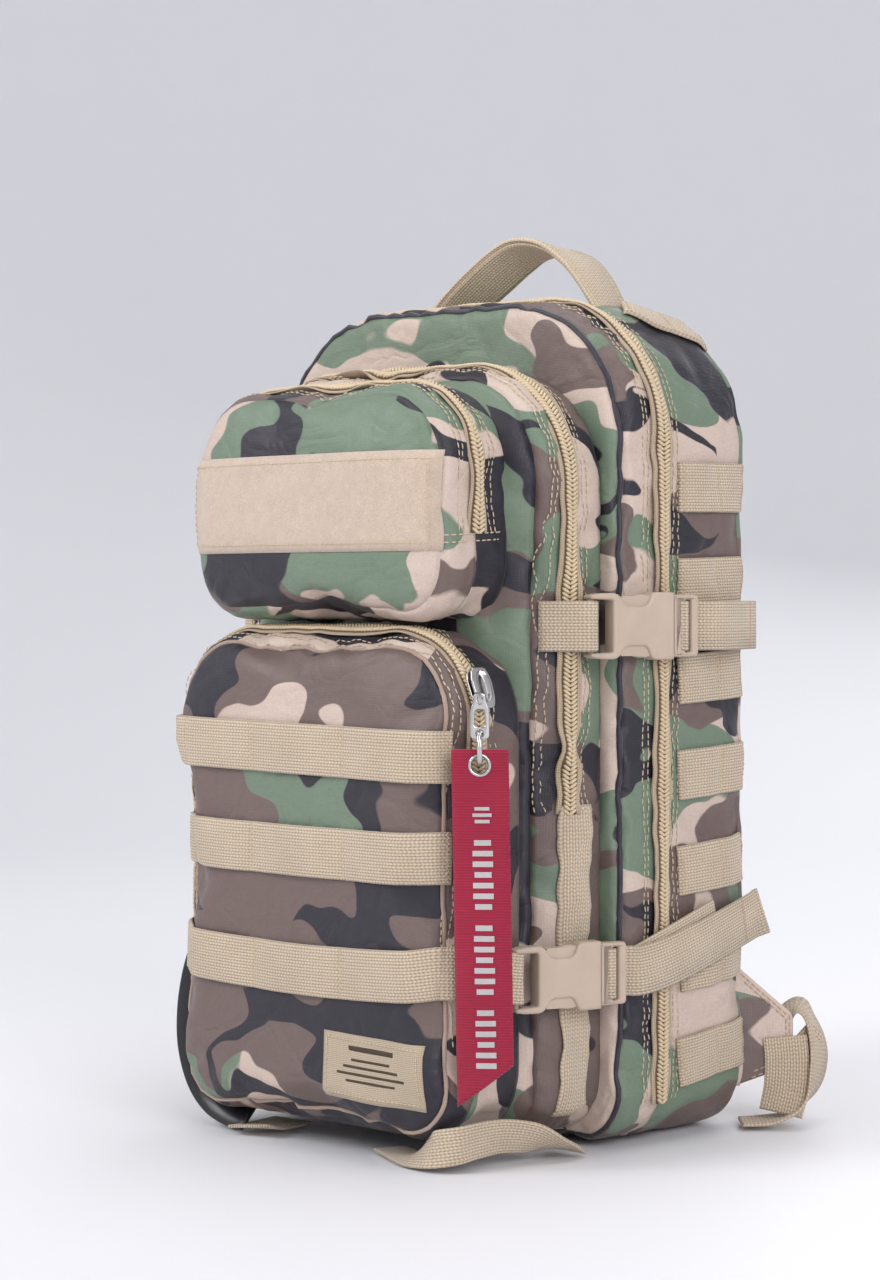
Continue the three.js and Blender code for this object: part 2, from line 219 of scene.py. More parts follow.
def camo(x, y, z, shares=(0, 0, 0)):
    """Woodland print: tan ground, green and brown clouds and dark branches. x, y and z pick the part of the
    print, and shares gives each of the three printed colours more or less of the ground."""
    s = Shader(f"camo_{x}_{y}_{z}".replace(".", "_"))
    coord = s.coord()
    place = s.add("ShaderNodeMapping", {"Vector": coord, "Location": (x, y, z), "Scale": (0.9, 0.9, 1.25)})
    where = place.outputs["Vector"]
    wobble = s.add("ShaderNodeTexNoise", {"Vector": where, "Scale": 24.0, "Detail": 1.0}).outputs["Color"]
    shift = s.vector("SCALE", s.vector("SUBTRACT", wobble, (0.5, 0.5, 0.5)), 0.075)
    warped = s.vector("ADD", where, shift)
    more_green, more_brown, more_dark = shares
    green = s.ramp(s.noise(warped, 12.0, 0.6), 0.505 - more_green, 0.511 - more_green)
    clouds = s.noise(s.vector("ADD", warped, (3.1, 1.7, 5.2)), 11.0, 0.6)
    brown = s.ramp(clouds, 0.535 - more_brown, 0.541 - more_brown)
    wide = s.noise(s.vector("ADD", where, (1.2, 7.7, 2.4)), 10.0, 0.5)
    branch = s.noise(s.vector("ADD", warped, (8.3, 2.9, 0.6)), 9.5, 0.6)
    ridge = s.math("ABSOLUTE", s.math("SUBTRACT", branch, 0.5))
    width = s.math("MULTIPLY", s.ramp(wide, 0.42 - more_dark, 0.58 - more_dark), 0.078)
    dark = s.ramp(s.math("SUBTRACT", width, ridge), 0.004, 0.008)
    colour = TAN
    for share, tone in ((green, GREEN), (brown, BROWN), (dark, NAVY)):
        colour = s.mix(share, colour, tone)
    colour = s.mix(s.ramp(s.noise(where, 900.0, 2.0), 0.30, 0.75), colour, (0.86, 0.85, 0.84, 1), "MULTIPLY")
    rough = s.ramp(s.noise(where, 60.0, 3.0), 0.2, 0.8)
    s.set(Base_Color=colour, Roughness=s.math("ADD", s.math("MULTIPLY", rough, 0.12), 0.44))
    s.set(Sheen_Weight=0.06, Sheen_Roughness=0.4, Specular_IOR_Level=0.55)
    warp, weft = (s.add("ShaderNodeTexWave", {"Vector": where, "Scale": 330.0, "Distortion": 0.6},
                        bands_direction=way).outputs["Fac"] for way in "XZ")
    crumple = s.math("ABSOLUTE", s.math("SUBTRACT", s.noise(where, 26.0, 2.5, 0.5, 0.8), 0.5))
    folds = s.bump(s.noise(where, 34.0, 3.0, 0.55, 0.6), 0.5, 2.0 * MM)
    folds = s.bump(s.ramp(crumple, 0.0, 0.10), 0.35, 1.2 * MM, folds)
    s.set(Normal=s.bump(s.math("MULTIPLY", warp, weft), 0.35, 0.25 * MM, folds))
    return s.material


def cloth_tone(name, colour):
    """The same cloth where one colour of the print fills the piece."""
    s = Shader(name)
    coord = s.coord()
    tone = s.noise(coord, 120.0, 3.0)
    s.set(Base_Color=s.mix(s.ramp(tone, 0.35, 0.8), colour, toned(colour, 1.5, 0.004)), Roughness=0.5,
          Sheen_Weight=0.3)
    s.set(Normal=s.bump(s.noise(coord, 420.0, 3.0), 0.6, 0.5 * MM))
    return s.material


def webbing_material(name, colour, pitch_long=2.0, pitch_wide=1.5, strength=0.9, zigzag=1.4, ribs=1.0):
    """Woven webbing. The UV map holds metres along and across the web."""
    s = Shader(name)
    uv = s.add("ShaderNodeUVMap").outputs["UV"]
    parts = s.add("ShaderNodeSeparateXYZ", {0: uv})
    along = s.math("MULTIPLY", parts.outputs["X"], 2 * math.pi / (pitch_long * MM))
    across = s.math("MULTIPLY", parts.outputs["Y"], 2 * math.pi / (pitch_wide * MM))
    odd = s.math("MULTIPLY", s.math("SINE", s.math("MULTIPLY", across, 0.5)), zigzag)
    cross = s.math("SINE", s.math("ADD", along, odd))
    rib = s.math("ABSOLUTE", s.math("SINE", s.math("MULTIPLY", across, 0.5)))
    height = s.math("ADD", s.math("MULTIPLY", cross, 0.35), s.math("MULTIPLY", rib, ribs))
    coord = s.coord()
    fibre = s.noise(coord, 1400.0, 2.0, 0.7)
    worn = s.noise(coord, 55.0, 3.0)
    # painted shade and light: the weave's low parts are darkened and its raised ribs lightened
    base = s.mix(s.ramp(height, -0.1, 1.15), toned(colour, 0.58), toned(colour, 1.10))
    base = s.mix(s.ramp(worn, 0.3, 0.8), base, (0.90, 0.89, 0.88, 1), "MULTIPLY")
    base = s.mix(s.ramp(fibre, 0.2, 0.9), base, (0.92, 0.92, 0.91, 1), "MULTIPLY")
    s.set(Base_Color=base, Roughness=0.86, Sheen_Weight=0.3, Sheen_Roughness=0.5)
    s.set(Normal=s.bump(height, strength, 0.45 * MM, s.bump(fibre, 0.3, 0.15 * MM)))
    return s.material


def grained_material(name, colour, roughness, metallic=0.0, grain=1600.0, depth=0.05):
    """Moulded or cast surface with a fine grain and slight changes of tone."""
    s = Shader(name)
    coord = s.coord()
    fine = s.noise(coord, grain, 2.0, 0.6)
    broad = s.noise(coord, 70.0, 3.0)
    s.set(Base_Color=s.mix(s.ramp(broad, 0.3, 0.75), colour, toned(colour, 0.90)))
    s.set(Roughness=s.math("ADD", s.math("MULTIPLY", broad, 0.16), roughness - 0.08))
    s.set(Metallic=metallic)
    s.set(Normal=s.bump(fine, 0.35, depth * MM))
    return s.material


def loop_material(name):
    """Brushed loop cloth, as on a hook and loop patch."""
    s = Shader(name)
    coord = s.coord()
    loops = s.noise(coord, 1500.0, 3.0, 0.75)
    patch = s.noise(coord, 1500.0 / 7, 3.0, 0.6)
    base = s.mix(s.ramp(loops, 0.34, 0.70), linear(192, 170, 150), linear(218, 198, 180))
    base = s.mix(s.ramp(patch, 0.35, 0.7), base, (0.9, 0.9, 0.9, 1), "MULTIPLY")
    s.set(Base_Color=base, Roughness=0.95, Sheen_Weight=0.5, Sheen_Roughness=0.5)
    s.set(Normal=s.bump(loops, 0.8, 0.6 * MM))
    return s.material


def mesh_material(name):
    """Air mesh: pale knit with rows of small round holes."""
    s = Shader(name)
    coord = s.coord()
    place = s.add("ShaderNodeMapping", {"Vector": coord, "Scale": (1, 0.35, 1)})
    inputs = {"Vector": place.outputs["Vector"], "Scale": 185.0, "Randomness": 0.12}
    cells = s.add("ShaderNodeTexVoronoi", inputs)
    hole = s.ramp(cells.outputs["Distance"], 0.20, 0.36)
    base = s.mix(hole, linear(122, 88, 76), linear(222, 198, 186))
    s.set(Base_Color=base, Roughness=0.9, Sheen_Weight=0.3)
    s.set(Normal=s.bump(hole, 0.9, 0.8 * MM))
    return s.material


class Looks:
    """Every material of the bag, made once."""

    def __init__(self):
        tan_web = linear(213, 193, 168)
        self.webbing = webbing_material("webbing", tan_web)
        self.tape = webbing_material("zip_tape", linear(196, 175, 148), 1.2, 1.1, 0.5)
        self.coil = grained_material("zip_coil", linear(216, 196, 164), 0.45, grain=900.0)
        # painted shade: a dark colour for the shadowed gaps between the zip's coil teeth
        self.coil_gap_shade = grained_material("zip_coil_gap_shade", linear(104, 82, 60), 0.9, grain=900.0)
        self.thread = grained_material("thread", linear(206, 188, 160), 0.8, grain=2500.0)
        self.pink_thread = grained_material("seam_thread", linear(194, 166, 146), 0.8, grain=2500.0)
        self.plastic = grained_material("buckle_plastic", linear(193, 174, 156), 0.44, depth=0.08)
        self.chrome = grained_material("bright_metal", (0.56, 0.55, 0.54, 1), 0.22, 1.0, 300.0, 0.02)
        self.bronze = grained_material("dark_metal", linear(70, 60, 52), 0.42, 0.85, 500.0)
        self.loop = loop_material("loop_patch")
        self.label = webbing_material("label_cloth", linear(198, 180, 156), 0.9, 0.9, 0.4)
        self.ink = grained_material("label_ink", linear(74, 62, 50), 0.9, grain=1800.0)
        self.red = webbing_material("tag_ribbon", linear(188, 20, 66), 1.3, 3.0, 0.6, 0.0, 0.0)
        self.white = webbing_material("tag_thread", linear(232, 226, 226), 0.8, 0.6, 0.8)
        self.mesh = mesh_material("air_mesh")
        self.binding = webbing_material("binding", linear(192, 166, 150), 1.4, 1.2, 0.4)
        self.dark_cloth = cloth_tone("dark_cloth", NAVY)
        self.dark_trim = grained_material("dark_trim", linear(34, 34, 38), 0.32, grain=700.0, depth=0.1)


# ---------------------------------------------------------------- mesh helpers
def make_object(name, points, faces, materials, uvs=None, smooth=True, slots=None):
    mesh = bpy.data.meshes.new(name)
    mesh.from_pydata([tuple(p) for p in points], [], [tuple(int(i) for i in f) for f in faces])
    mesh.validate()
    if uvs is not None:
        layer = mesh.uv_layers.new(name="UVMap")
        for loop in mesh.loops:
            layer.data[loop.index].uv = uvs[loop.vertex_index]
    for material in materials:
        mesh.materials.append(material)
    if slots is not None:
        mesh.polygons.foreach_set("material_index", [int(i) for i in slots])
    mesh.polygons.foreach_set("use_smooth", [smooth] * len(mesh.polygons))
    piece = bpy.data.objects.new(name, mesh)
    scene.collection.objects.link(piece)
    return piece


def apply_modifiers(piece):
    bpy.context.view_layer.update()
    mesh = bpy.data.meshes.new_from_object(piece.evaluated_get(bpy.context.evaluated_depsgraph_get()))
    piece.modifiers.clear()
    piece.data = mesh
    return piece


def thicken(piece, thick):
    """Gives a sheet a real thickness, on its inner side, in mm."""
    solid = piece.modifiers.new("thick", "SOLIDIFY")
    solid.thickness = thick * MM
    solid.offset = -1
    return apply_modifiers(piece)


def unit(vectors):
    length = np.linalg.norm(vectors, axis=-1, keepdims=True)
    return vectors / np.maximum(length, 1e-9)


def arc_lengths(points):
    return np.r_[0, np.cumsum(np.linalg.norm(np.diff(points, axis=0), axis=1))]


def point_at(line, lengths, mark):
    """The point at one length along a line."""
    return np.array([np.interp(mark, lengths, line[:, k]) for k in range(3)])


def resample(points, step):
    """Evenly spaced points along a smooth curve through the given points."""
    p = np.asarray(points, float)
    ends = np.vstack([2 * p[0] - p[1], p, 2 * p[-1] - p[-2]])
    fine = []
    for i in range(1, len(ends) - 2):
        a, b, c, d = ends[i - 1:i + 3]
        for t in np.linspace(0, 1, 24, endpoint=False):
            line = 2 * b + (c - a) * t + (2 * a - 5 * b + 4 * c - d) * t ** 2
            fine.append(0.5 * (line + (3 * b - a - 3 * c + d) * t ** 3))
    fine = np.vstack([fine, p[-1]])
    lengths = arc_lengths(fine)
    count = max(int(round(lengths[-1] / step)), 2)
    marks = np.linspace(0, lengths[-1], count + 1)
    return np.column_stack([np.interp(marks, lengths, fine[:, k]) for k in range(p.shape[1])])


# ---------------------------------------------------------------- outlines and lofted cloth forms
class Outline:
    """A rounded outline in X and Z, in mm, with the same number of points on each stretch at any inset."""

    def __init__(self, half, low, high, top_radius, low_radius, step=6.0):
        self.half, self.low, self.high = half, low, high
        self.rt, self.rb = top_radius, low_radius
        side = high - low - top_radius - low_radius
        low_bend, top_bend = math.pi / 2 * low_radius, math.pi / 2 * top_radius
        stretches = (2 * (half - low_radius), low_bend, side, top_bend,
                     2 * (half - top_radius), top_bend, side, low_bend)
        self.counts = [max(int(round(n / step)), 3) for n in stretches]

    def ring(self, inset):
        h, low, high = self.half - inset, self.low + inset, self.high - inset
        rt, rb = max(self.rt - inset, 2.0), max(self.rb - inset, 2.0)
        rt, rb = min(rt, h), min(rb, h)
        lines = [((-h + rb, low), (h - rb, low)), ((h, low + rb), (h, high - rt)),
                 ((h - rt, high), (-h + rt, high)), ((-h, high - rt), (-h, low + rb))]
        bends = [(h - rb, low + rb, rb, -90), (h - rt, high - rt, rt, 0), (-h + rt, high - rt, rt, 90),
                 (-h + rb, low + rb, rb, 180)]
        points = []
        for (a, b), (x, z, r, start), n, m in zip(lines, bends, self.counts[::2], self.counts[1::2]):
            for t in np.linspace(0, 1, n, endpoint=False):
                points.append((a[0] + (b[0] - a[0]) * t, a[1] + (b[1] - a[1]) * t))
            for t in np.linspace(0, 90, m, endpoint=False):
                angle = math.radians(start + t)
                points.append((x + r * math.cos(angle), z + r * math.sin(angle)))
        return np.array(points)


class ClothForm:
    """A closed cloth form: rings carried from back to front, then drawn in over the front face."""

    def __init__(self, name, outline, profile, pins, shape=None, cap_step=6.0):
        self.name, self.outline, self.profile, self.pins = name, outline, profile, pins
        self.front = profile[-1][0]
        steps = list(profile)
        y, inset = profile[-1]
        last = min(outline.half, (outline.high - outline.low) / 2) - 5
        while inset + cap_step < last:
            inset += cap_step
            steps.append((y, inset))
        rings = [outline.ring(inset) for _, inset in steps]
        rings = [np.column_stack([ring[:, 0], np.full(len(ring), y), ring[:, 1]])
                 for ring, (y, _) in zip(rings, steps)]
        self.count = n = len(rings[0])
        points = np.vstack(rings + [rings[-1].mean(0, keepdims=True)]) * MM
        self.points = points if shape is None else shape(points)
        tip, base = len(points) - 1, (len(rings) - 1) * n
        self.faces = ring_faces(len(rings), n) + [(base + i, base + (i + 1) % n, tip) for i in range(n)]
        self.owner = np.r_[np.repeat(np.arange(len(rings) - 1), n), np.full(n, len(rings))]
        self.ring_of = np.minimum(np.arange(len(points)) // n, len(rings) - 1)

    def edge_distance(self, x, z):
        """How far a point of the front is from the outline, in mm."""
        o = self.outline
        return min(o.half - abs(x), o.high - z, z - o.low)

    def simulate(self, pressure, swell, most, frames=20):
        """Inflates the cloth between its pinned seams, and caps how far a point may move, in mm."""
        start = self.points.copy()
        piece = make_object(self.name + "_sim", self.points, self.faces, [])
        group = piece.vertex_groups.new(name="pins")
        for ring, weight in self.pins.items():
            group.add([int(v) for v in np.nonzero(self.ring_of == ring)[0]], weight, "REPLACE")
        cloth = piece.modifiers.new("cloth", "CLOTH")
        for key, value in {"quality": 5, "mass": 0.12, "tension_stiffness": 25, "compression_stiffness": 12,
                           "shear_stiffness": 8, "bending_stiffness": 0.35, "vertex_group_mass": "pins",
                           "pin_stiffness": 1.0, "use_pressure": True, "uniform_pressure_force": pressure,
                           "shrink_min": -swell, "shrink_max": -swell}.items():
            setattr(cloth.settings, key, value)
        cloth.settings.effector_weights.gravity = 0.0
        cloth.collision_settings.use_collision = False
        cloth.point_cache.frame_start = 1
        cloth.point_cache.frame_end = frames
        for number in range(1, frames + 1):
            scene.frame_set(number)
        moved = piece.evaluated_get(bpy.context.evaluated_depsgraph_get()).data
        out = np.zeros(len(start) * 3)
        moved.vertices.foreach_get("co", out)
        step = out.reshape(-1, 3) - start
        step *= np.minimum(1, most * MM / np.maximum(np.linalg.norm(step, axis=1, keepdims=True), 1e-9))
        self.points = start + step
        bpy.data.objects.remove(piece)
        scene.frame_set(1)

    def finish_tree(self):
        self.tree = BVHTree.FromPolygons([tuple(p) for p in self.points], self.faces)

    def piece(self, name, first, last, material, thick=1.2):
        """The faces from one ring to another as their own sheet of cloth, with a real thickness."""
        keep = [f for f, ring in zip(self.faces, self.owner) if first <= ring < last]
        used = sorted({i for f in keep for i in f})
        order = {old: new for new, old in enumerate(used)}
        faces = [tuple(order[i] for i in f) for f in keep]
        piece = make_object(name, self.points[used], faces, [material])
        fine = piece.modifiers.new("fine", "SUBSURF")
        fine.levels = fine.render_levels = 1
        return thicken(piece, thick)


def land(tree, point, direction, reach=40 * MM):
    """Where a line from outside meets the cloth, and which way the cloth faces there."""
    direction = Vector(direction).normalized()
    start = Vector(point) - direction * reach
    hit, normal, _, _ = tree.ray_cast(start, direction, 2.5 * reach)
    if hit is None:
        hit, normal, _, _ = tree.find_nearest(Vector(point))
    if normal.dot(direction) > 0:
        normal = -normal
    return np.array(hit), np.array(normal)


def lay(tree, points, directions, lift=0.0):
    """Drops a line of points on the cloth. Gives the points, lifted off it, and smoothed normals."""
    hits = [land(tree, p, d) for p, d in zip(points, directions)]
    place = np.array([h[0] for h in hits])
    normal = np.array([h[1] for h in hits])
    for _ in range(3):
        normal[1:-1] = normal[:-2] + normal[1:-1] + normal[2:]
        normal = unit(normal)
    return place + normal * lift, normal


def frames_along(points, normals):
    """Directions along, across and out of a line that lies on a surface."""
    along = unit(np.gradient(points, axis=0))
    across = unit(np.cross(normals, along))
    out = unit(np.cross(along, across))
    return along, across, out


def sweep(name, points, normals, section, material):
    """Carries a section (across, out) in metres along a line. UV is metres along and across."""
    _, across, out = frames_along(points, normals)
    section = np.asarray(section, float)
    n, m = len(points), len(section)
    verts = (points[:, None, :] + across[:, None, :] * section[None, :, 0:1]
             + out[:, None, :] * section[None, :, 1:2]).reshape(-1, 3)
    lengths = arc_lengths(points)
    uvs = [(lengths[i // m], section[i % m, 0]) for i in range(n * m)]
    return make_object(name, verts, ring_faces(n, m) + end_faces(n, m), [material], uvs)


def web_section(wide, thick):
    """The section of a web in metres, from its size in mm: flat faces with soft, slightly thicker edges."""
    w, t = wide * MM / 2, thick * MM / 2
    top = [(-w, 0), (-w + 0.3 * MM, t), (-w + 1.5 * MM, t * 1.12), (0, t)]
    right = [(w - 1.5 * MM, t * 1.12), (w - 0.3 * MM, t), (w, 0)]
    under = [(w - 0.3 * MM, -t), (0, -t), (-w + 0.3 * MM, -t)]
    return [(-a, b) for a, b in top + right + under]


def scatter(name, places, axes, shape, faces, material):
    """Copies of one small closed shape, each set in its own directions (along, across, out)."""
    shape = np.asarray(shape, float)
    verts, all_faces = [], []
    for place, (a, b, c) in zip(places, axes):
        base = len(verts)
        verts.extend(place + shape[:, 0:1] * a + shape[:, 1:2] * b + shape[:, 2:3] * c)
        all_faces.extend(tuple(base + i for i in f) for f in faces)
    return make_object(name, verts, all_faces, [material])


def bead(long, wide, high):
    """A small closed bead along its first axis: pointed ends and a round middle. Sizes in mm."""
    rows, sides = [(-0.5, 0.45), (-0.25, 1.0), (0.25, 1.0), (0.5, 0.45)], 6
    long, wide, high = long * MM, wide * MM, high * MM
    verts = []
    for x, scale in rows:
        for k in range(sides):
            angle = 2 * math.pi * k / sides
            verts.append((x * long, math.cos(angle) * wide / 2 * scale, math.sin(angle) * high / 2 * scale))
    return verts, ring_faces(len(rows), sides) + end_faces(len(rows), sides)


def stitches(name, points, normals, offset=0.0, pitch=3.6, long=2.7, lift=0.25, material=None):
    """A row of real stitches beside a line, `offset` metres across from it."""
    along, across, out = frames_along(points, normals)
    line = points + across * offset
    lengths = arc_lengths(line)
    marks = np.arange(pitch / 2, lengths[-1] / MM - pitch / 2, pitch) * MM
    pick = [int(np.searchsorted(lengths, m)) for m in marks]
    places = [point_at(line, lengths, m) + out[i] * lift * MM for m, i in zip(marks, pick)]
    axes = [(along[i], across[i], out[i]) for i in pick]
    return scatter(name, places, axes, *bead(long, 0.75, 0.55), material or looks.thread)


def bar_tack(name, line, sign, at):
    """A dense upright row of stitches over an upright web, at a share `at` of its line, and rides the bag."""
    points = line * MM
    normals = unit(np.cross(unit(np.gradient(points, axis=0)), UP)) * sign
    along, across, out = frames_along(points, normals)
    i = int(np.clip(round(at * (len(points) - 1)), 1, len(points) - 2))
    places, axes = [], []
    for k, t in enumerate(np.linspace(-0.5, 0.5, 15)):
        zig = 1 if k % 2 else -1
        places.append(points[i] + across[i] * t * 22 * MM + along[i] * zig * 0.45 * MM + out[i] * 1.0 * MM)
        axes.append((unit(across[i] + along[i] * zig * 0.6), along[i], out[i]))
    ride_all("root", "webbing", scatter(name, places, axes, *bead(2.0, 0.7, 0.5), looks.pink_thread))


def ride_all(body, slot, *pieces):
    for piece in pieces:
        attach(piece, body)


# ---------------------------------------------------------------- the bag's places, from the frame
def extent(node):
    """The low and high corner of a CAD node's box, in mm."""
    low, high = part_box(node)
    return [v / MM for v in low], [v / MM for v in high]


def centre_of(node):
    return np.mean(extent(node), axis=0)


def top_of(node):
    """The middle of a node's top, in mm."""
    return np.array([*centre_of(node)[:2], extent(node)[1][2]])


class Place:
    """Faces and seams of the bag in mm, read from the CAD nodes."""

    def __init__(self):
        (_, self.main_ring, _), (_, self.main_back, _) = extent("rear_gusset")
        self.middle_half = extent("middle_front_panel")[1][0]
        for level, front in (("main", "main_front_panel"), ("middle", "middle_front_panel"),
                             ("upper", "upper_pocket_flap"), ("lower", "lower_pocket_front")):
            setattr(self, level + "_face", extent(front)[0][1])
            setattr(self, level + "_zip", sum(extent(level + "_zipper")[k][1] for k in (0, 1)) / 2)


def outline_of(low, high, top_radius, low_radius, inset, step=6.0):
    """The outline of a box between two corners, drawn in a little."""
    return Outline(high[0] - inset, low[2] + inset, high[2] - inset, top_radius, low_radius, step)


def rounded_profile(y_back, y_front, stops, round_front, round_back=0.0, step=6.0):
    """(y, inset) pairs from back to front: flat sides with rounded edges, and a ring at each of `stops`."""
    rows = []
    if round_back:
        for t in np.linspace(0, 1, 4)[:-1]:
            angle = t * math.pi / 2
            rows.append((y_back - round_back * (1 - math.cos(angle)), round_back * (1 - math.sin(angle))))
    start = y_back - round_back
    marks = sorted([start, *stops, y_front + round_front], reverse=True)
    for a, b in zip(marks[:-1], marks[1:]):
        count = max(int(round((a - b) / step)), 1)
        rows += [(a + (b - a) * t, 0.0) for t in np.linspace(0, 1, count, endpoint=False)]
    for t in np.linspace(0, 1, 5):
        angle = t * math.pi / 2
        rows.append((y_front + round_front * (1 - math.sin(angle)), round_front * (1 - math.cos(angle))))
    return rows


def ring_at(profile, y):
    """The number of the wall ring nearest to a depth."""
    flat = [(abs(row[0] - y), i) for i, row in enumerate(profile)]
    return min(flat)[1]


def zip_path(form, y, end):
    """A line round the sides and top of a form at one depth, from its right end to its left end."""
    step, half, high = 3.0, form.outline.half, form.outline.high
    rt = max(form.outline.rt, 4)
    side, top, corner = high - rt - end, 2 * (half - rt), int(rt * 1.57 / step)
    path = [((half, end + side * t), 0) for t in np.linspace(0, 1, int(side / step), endpoint=False)]
    for t in np.linspace(0, math.pi / 2, corner, endpoint=False):
        path.append(((half - rt + rt * math.cos(t), high - rt + rt * math.sin(t)), t))
    for t in np.linspace(0, 1, int(top / step), endpoint=False):
        path.append(((half - rt - top * t, high), math.pi / 2))
    for t in np.linspace(math.pi / 2, math.pi, corner, endpoint=False):
        path.append(((-half + rt + rt * math.cos(t), high - rt + rt * math.sin(t)), t))
    path += [((-half, high - rt - side * t), math.pi) for t in np.linspace(0, 1, int(side / step) + 1)]
    points = np.array([(x, y, z) for (x, z), _ in path]) * MM
    return points, -np.array([(math.cos(t), 0, math.sin(t)) for _, t in path])


def make_zip(name, form, y, end, tape_wide=22.0, front_move=None):
    """Tape, a dark strip of painted shade under the coil, two rows of coil teeth, and double topstitching on
    the cloth at both sides.
    """
    points, inward = zip_path(form, y, end)
    place, normal = lay(form.tree, points, inward, 0.9 * MM)
    drift = place - points
    for _ in range(60):
        drift[1:-1] = (drift[:-2] + drift[1:-1] + drift[2:]) / 3
    place = points + drift
    tape = sweep(name + "_tape", place, normal, web_section(tape_wide * 0.62, 1.0), looks.tape)
    along, across, out = frames_along(place, normal)
    lengths = arc_lengths(place)
    # a dark strip under the coil: painted shade that shows in the gaps between the teeth
    gap_shade = sweep(name + "_gap_shade", place + out * 0.7 * MM, normal, web_section(8.2, 0.8), looks.coil_gap_shade)
    places, axes = [], []
    for m in np.arange(1.0, lengths[-1] / MM - 1.0, 2.15) * MM:
        i = min(int(np.searchsorted(lengths, m)), len(place) - 1)
        here = point_at(place, lengths, m)
        for side in (-1, 1):
            lean = unit(across[i] * side + along[i] * 0.75)
            places.append(here + across[i] * side * 1.75 * MM + out[i] * 1.5 * MM)
            axes.append((lean, unit(np.cross(out[i], lean)), out[i]))
    coil = scatter(name + "_coil", places, axes, *bead(4.5, 1.75, 2.3), looks.coil)
    pieces, front_rows = [tape, gap_shade, coil], []
    for side, word in ((-1, "rear"), (1, "front")):
        for k, gap in enumerate((9.2, 12.2)):
            near, facing = lay(form.tree, points + np.array([0, -side * gap * MM, 0]), inward)
            row = stitches(f"{name}_stitch_{word}_{k + 1}", near, facing)
            (front_rows if side > 0 and front_move else pieces).append(row)
    ride_all("root", "zip_tape", *pieces)
    for piece in front_rows:
        front_move(piece)
    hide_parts(name + "per")


# ---------------------------------------------------------------- the soft compartments
def seam_pucker(points, seams, depth, reach, wave, seed):
    """Gathers cloth beside its seams: small ridges square to each seam that fade away from it.
    Each seam is a depth y in mm; the ridges run round the form by angle."""
    p = points / MM
    high = p[:, 2] - (p[:, 2].min() + p[:, 2].max()) / 2
    around = np.arctan2(high, p[:, 0]) * np.hypot(p[:, 0], high)
    push = np.zeros(len(p))
    for k, y in enumerate(seams):
        away = np.abs(p[:, 1] - y)
        fade = np.exp(-((away - 5) / reach) ** 2) * (away > 1)
        phase = seed + 2.1 * k + 1.7 * np.sin(around / 47 + seed)
        ridge = np.sin(around * 2 * math.pi / wave + phase) * (0.6 + 0.4 * np.sin(around / 31 + k + seed))
        push += depth * fade * ridge
    outward = np.column_stack([p[:, 0], np.zeros(len(p)), high])
    return points + unit(outward) * push[:, None] * MM


def point_normals(form):
    """The way each point of a form faces, as the mean of its faces."""
    q = form.points
    total = np.zeros_like(q)
    for face in form.faces:
        corners = q[list(face)]
        normal = np.cross(corners[1] - corners[0], corners[-1] - corners[0])
        for i in face:
            total[i] += normal
    middle = q.mean(0)
    facing = np.sign(((q - middle) * total).sum(1).sum())
    return unit(total) * facing


def soft_folds(form, depth, seed, reach=26.0):
    """Shallow waves all over, and sharper creases that run in from the seams and corners."""
    out = point_normals(form)
    q = form.points / MM
    seam_y = q[form.ring_of == form.seam_ring, 1].mean()
    push = np.zeros(len(q))
    for i, (x, y, z) in enumerate(q):
        wave = noise.noise(Vector((x / 44 + seed, y / 30, z / 52)))
        bend = noise.noise(Vector((x / 60 - seed, y / 50 + 3.1, z / 60))) * 1.6
        line = noise.noise(Vector((x / 30 + bend, y / 26 + seed, z / 34 + bend)))
        crease = max(0.0, 1 - abs(line) * 5.0) ** 2
        edge = math.exp(-max(form.edge_distance(x, z) - 4, 0) / reach) if y < seam_y + 3 else 1.0
        push[i] = wave * depth * 0.9 - crease * depth * edge
    push *= np.isin(form.ring_of, list(form.free_rings))
    form.points = form.points + out * push[:, None] * MM


def sew_seam(form, depth=1.3, gather=0.6, pitch=9.0):
    """Draws the cloth in along the front seam, with small gathers on both sides of it."""
    out = point_normals(form)
    for step, share in ((0, -1.0), (-1, 0.25), (1, 0.25)):
        ring = np.nonzero(form.ring_of == form.seam_ring + step)[0]
        lengths = arc_lengths(form.points[ring]) / MM
        ripple = np.sin(lengths * 2 * math.pi / pitch + np.sin(lengths / 23.0) * 2.0)
        push = share * depth + (gather * ripple if step else 0.25 * gather * ripple)
        form.points[ring] += out[ring] * push[:, None] * MM


def finish_form(form, seed, depth):
    """Folds, front seam and the tree that other pieces are laid on."""
    walls = len(form.profile)
    form.seam_ring = walls - 3
    fixed = {ring for ring, weight in form.pins.items() if weight > 0.8 and ring < walls}
    form.free_rings = set(range(form.ring_of.max() + 1)) - fixed - {0}
    soft_folds(form, depth, seed)
    sew_seam(form)
    form.points[:, 2] = np.maximum(form.points[:, 2], 0.8 * MM)
    form.finish_tree()


def seam_piping(form, name, radius, material):
    """A thin rolled edge along the front seam."""
    seam = form.ring_of == form.seam_ring
    line = (form.points[seam] + point_normals(form)[seam] * 0.2 * MM) / MM
    ride_all("root", "camo_cloth", wire(name, [tuple(v) for v in line], radius, material, 8, True))


def back_panel(form, name, material):
    """Closes the back of a form with its own sheet of cloth, drawn in ring by ring from the rear edge."""
    n = form.count
    first = form.points[:n]
    middle = first.mean(0)
    shares = np.linspace(0, 0.97, 18)
    rings = [middle + (first - middle) * (1 - share) for share in shares]
    points = np.vstack(rings + [middle[None]])
    for i, (x, _, z) in enumerate(points):
        points[i, 1] -= (0.4 + 0.7 * noise.noise(Vector((x * 22, 1.7, z * 22)))) * MM * (i >= n)
    base = (len(shares) - 1) * n
    faces = [(b, a, d, c) for a, b, c, d in ring_faces(len(shares), n)]
    faces += [(base + (i + 1) % n, base + i, len(points) - 1) for i in range(n)]
    return thicken(make_object(name, points, faces, [material]), 1.2)


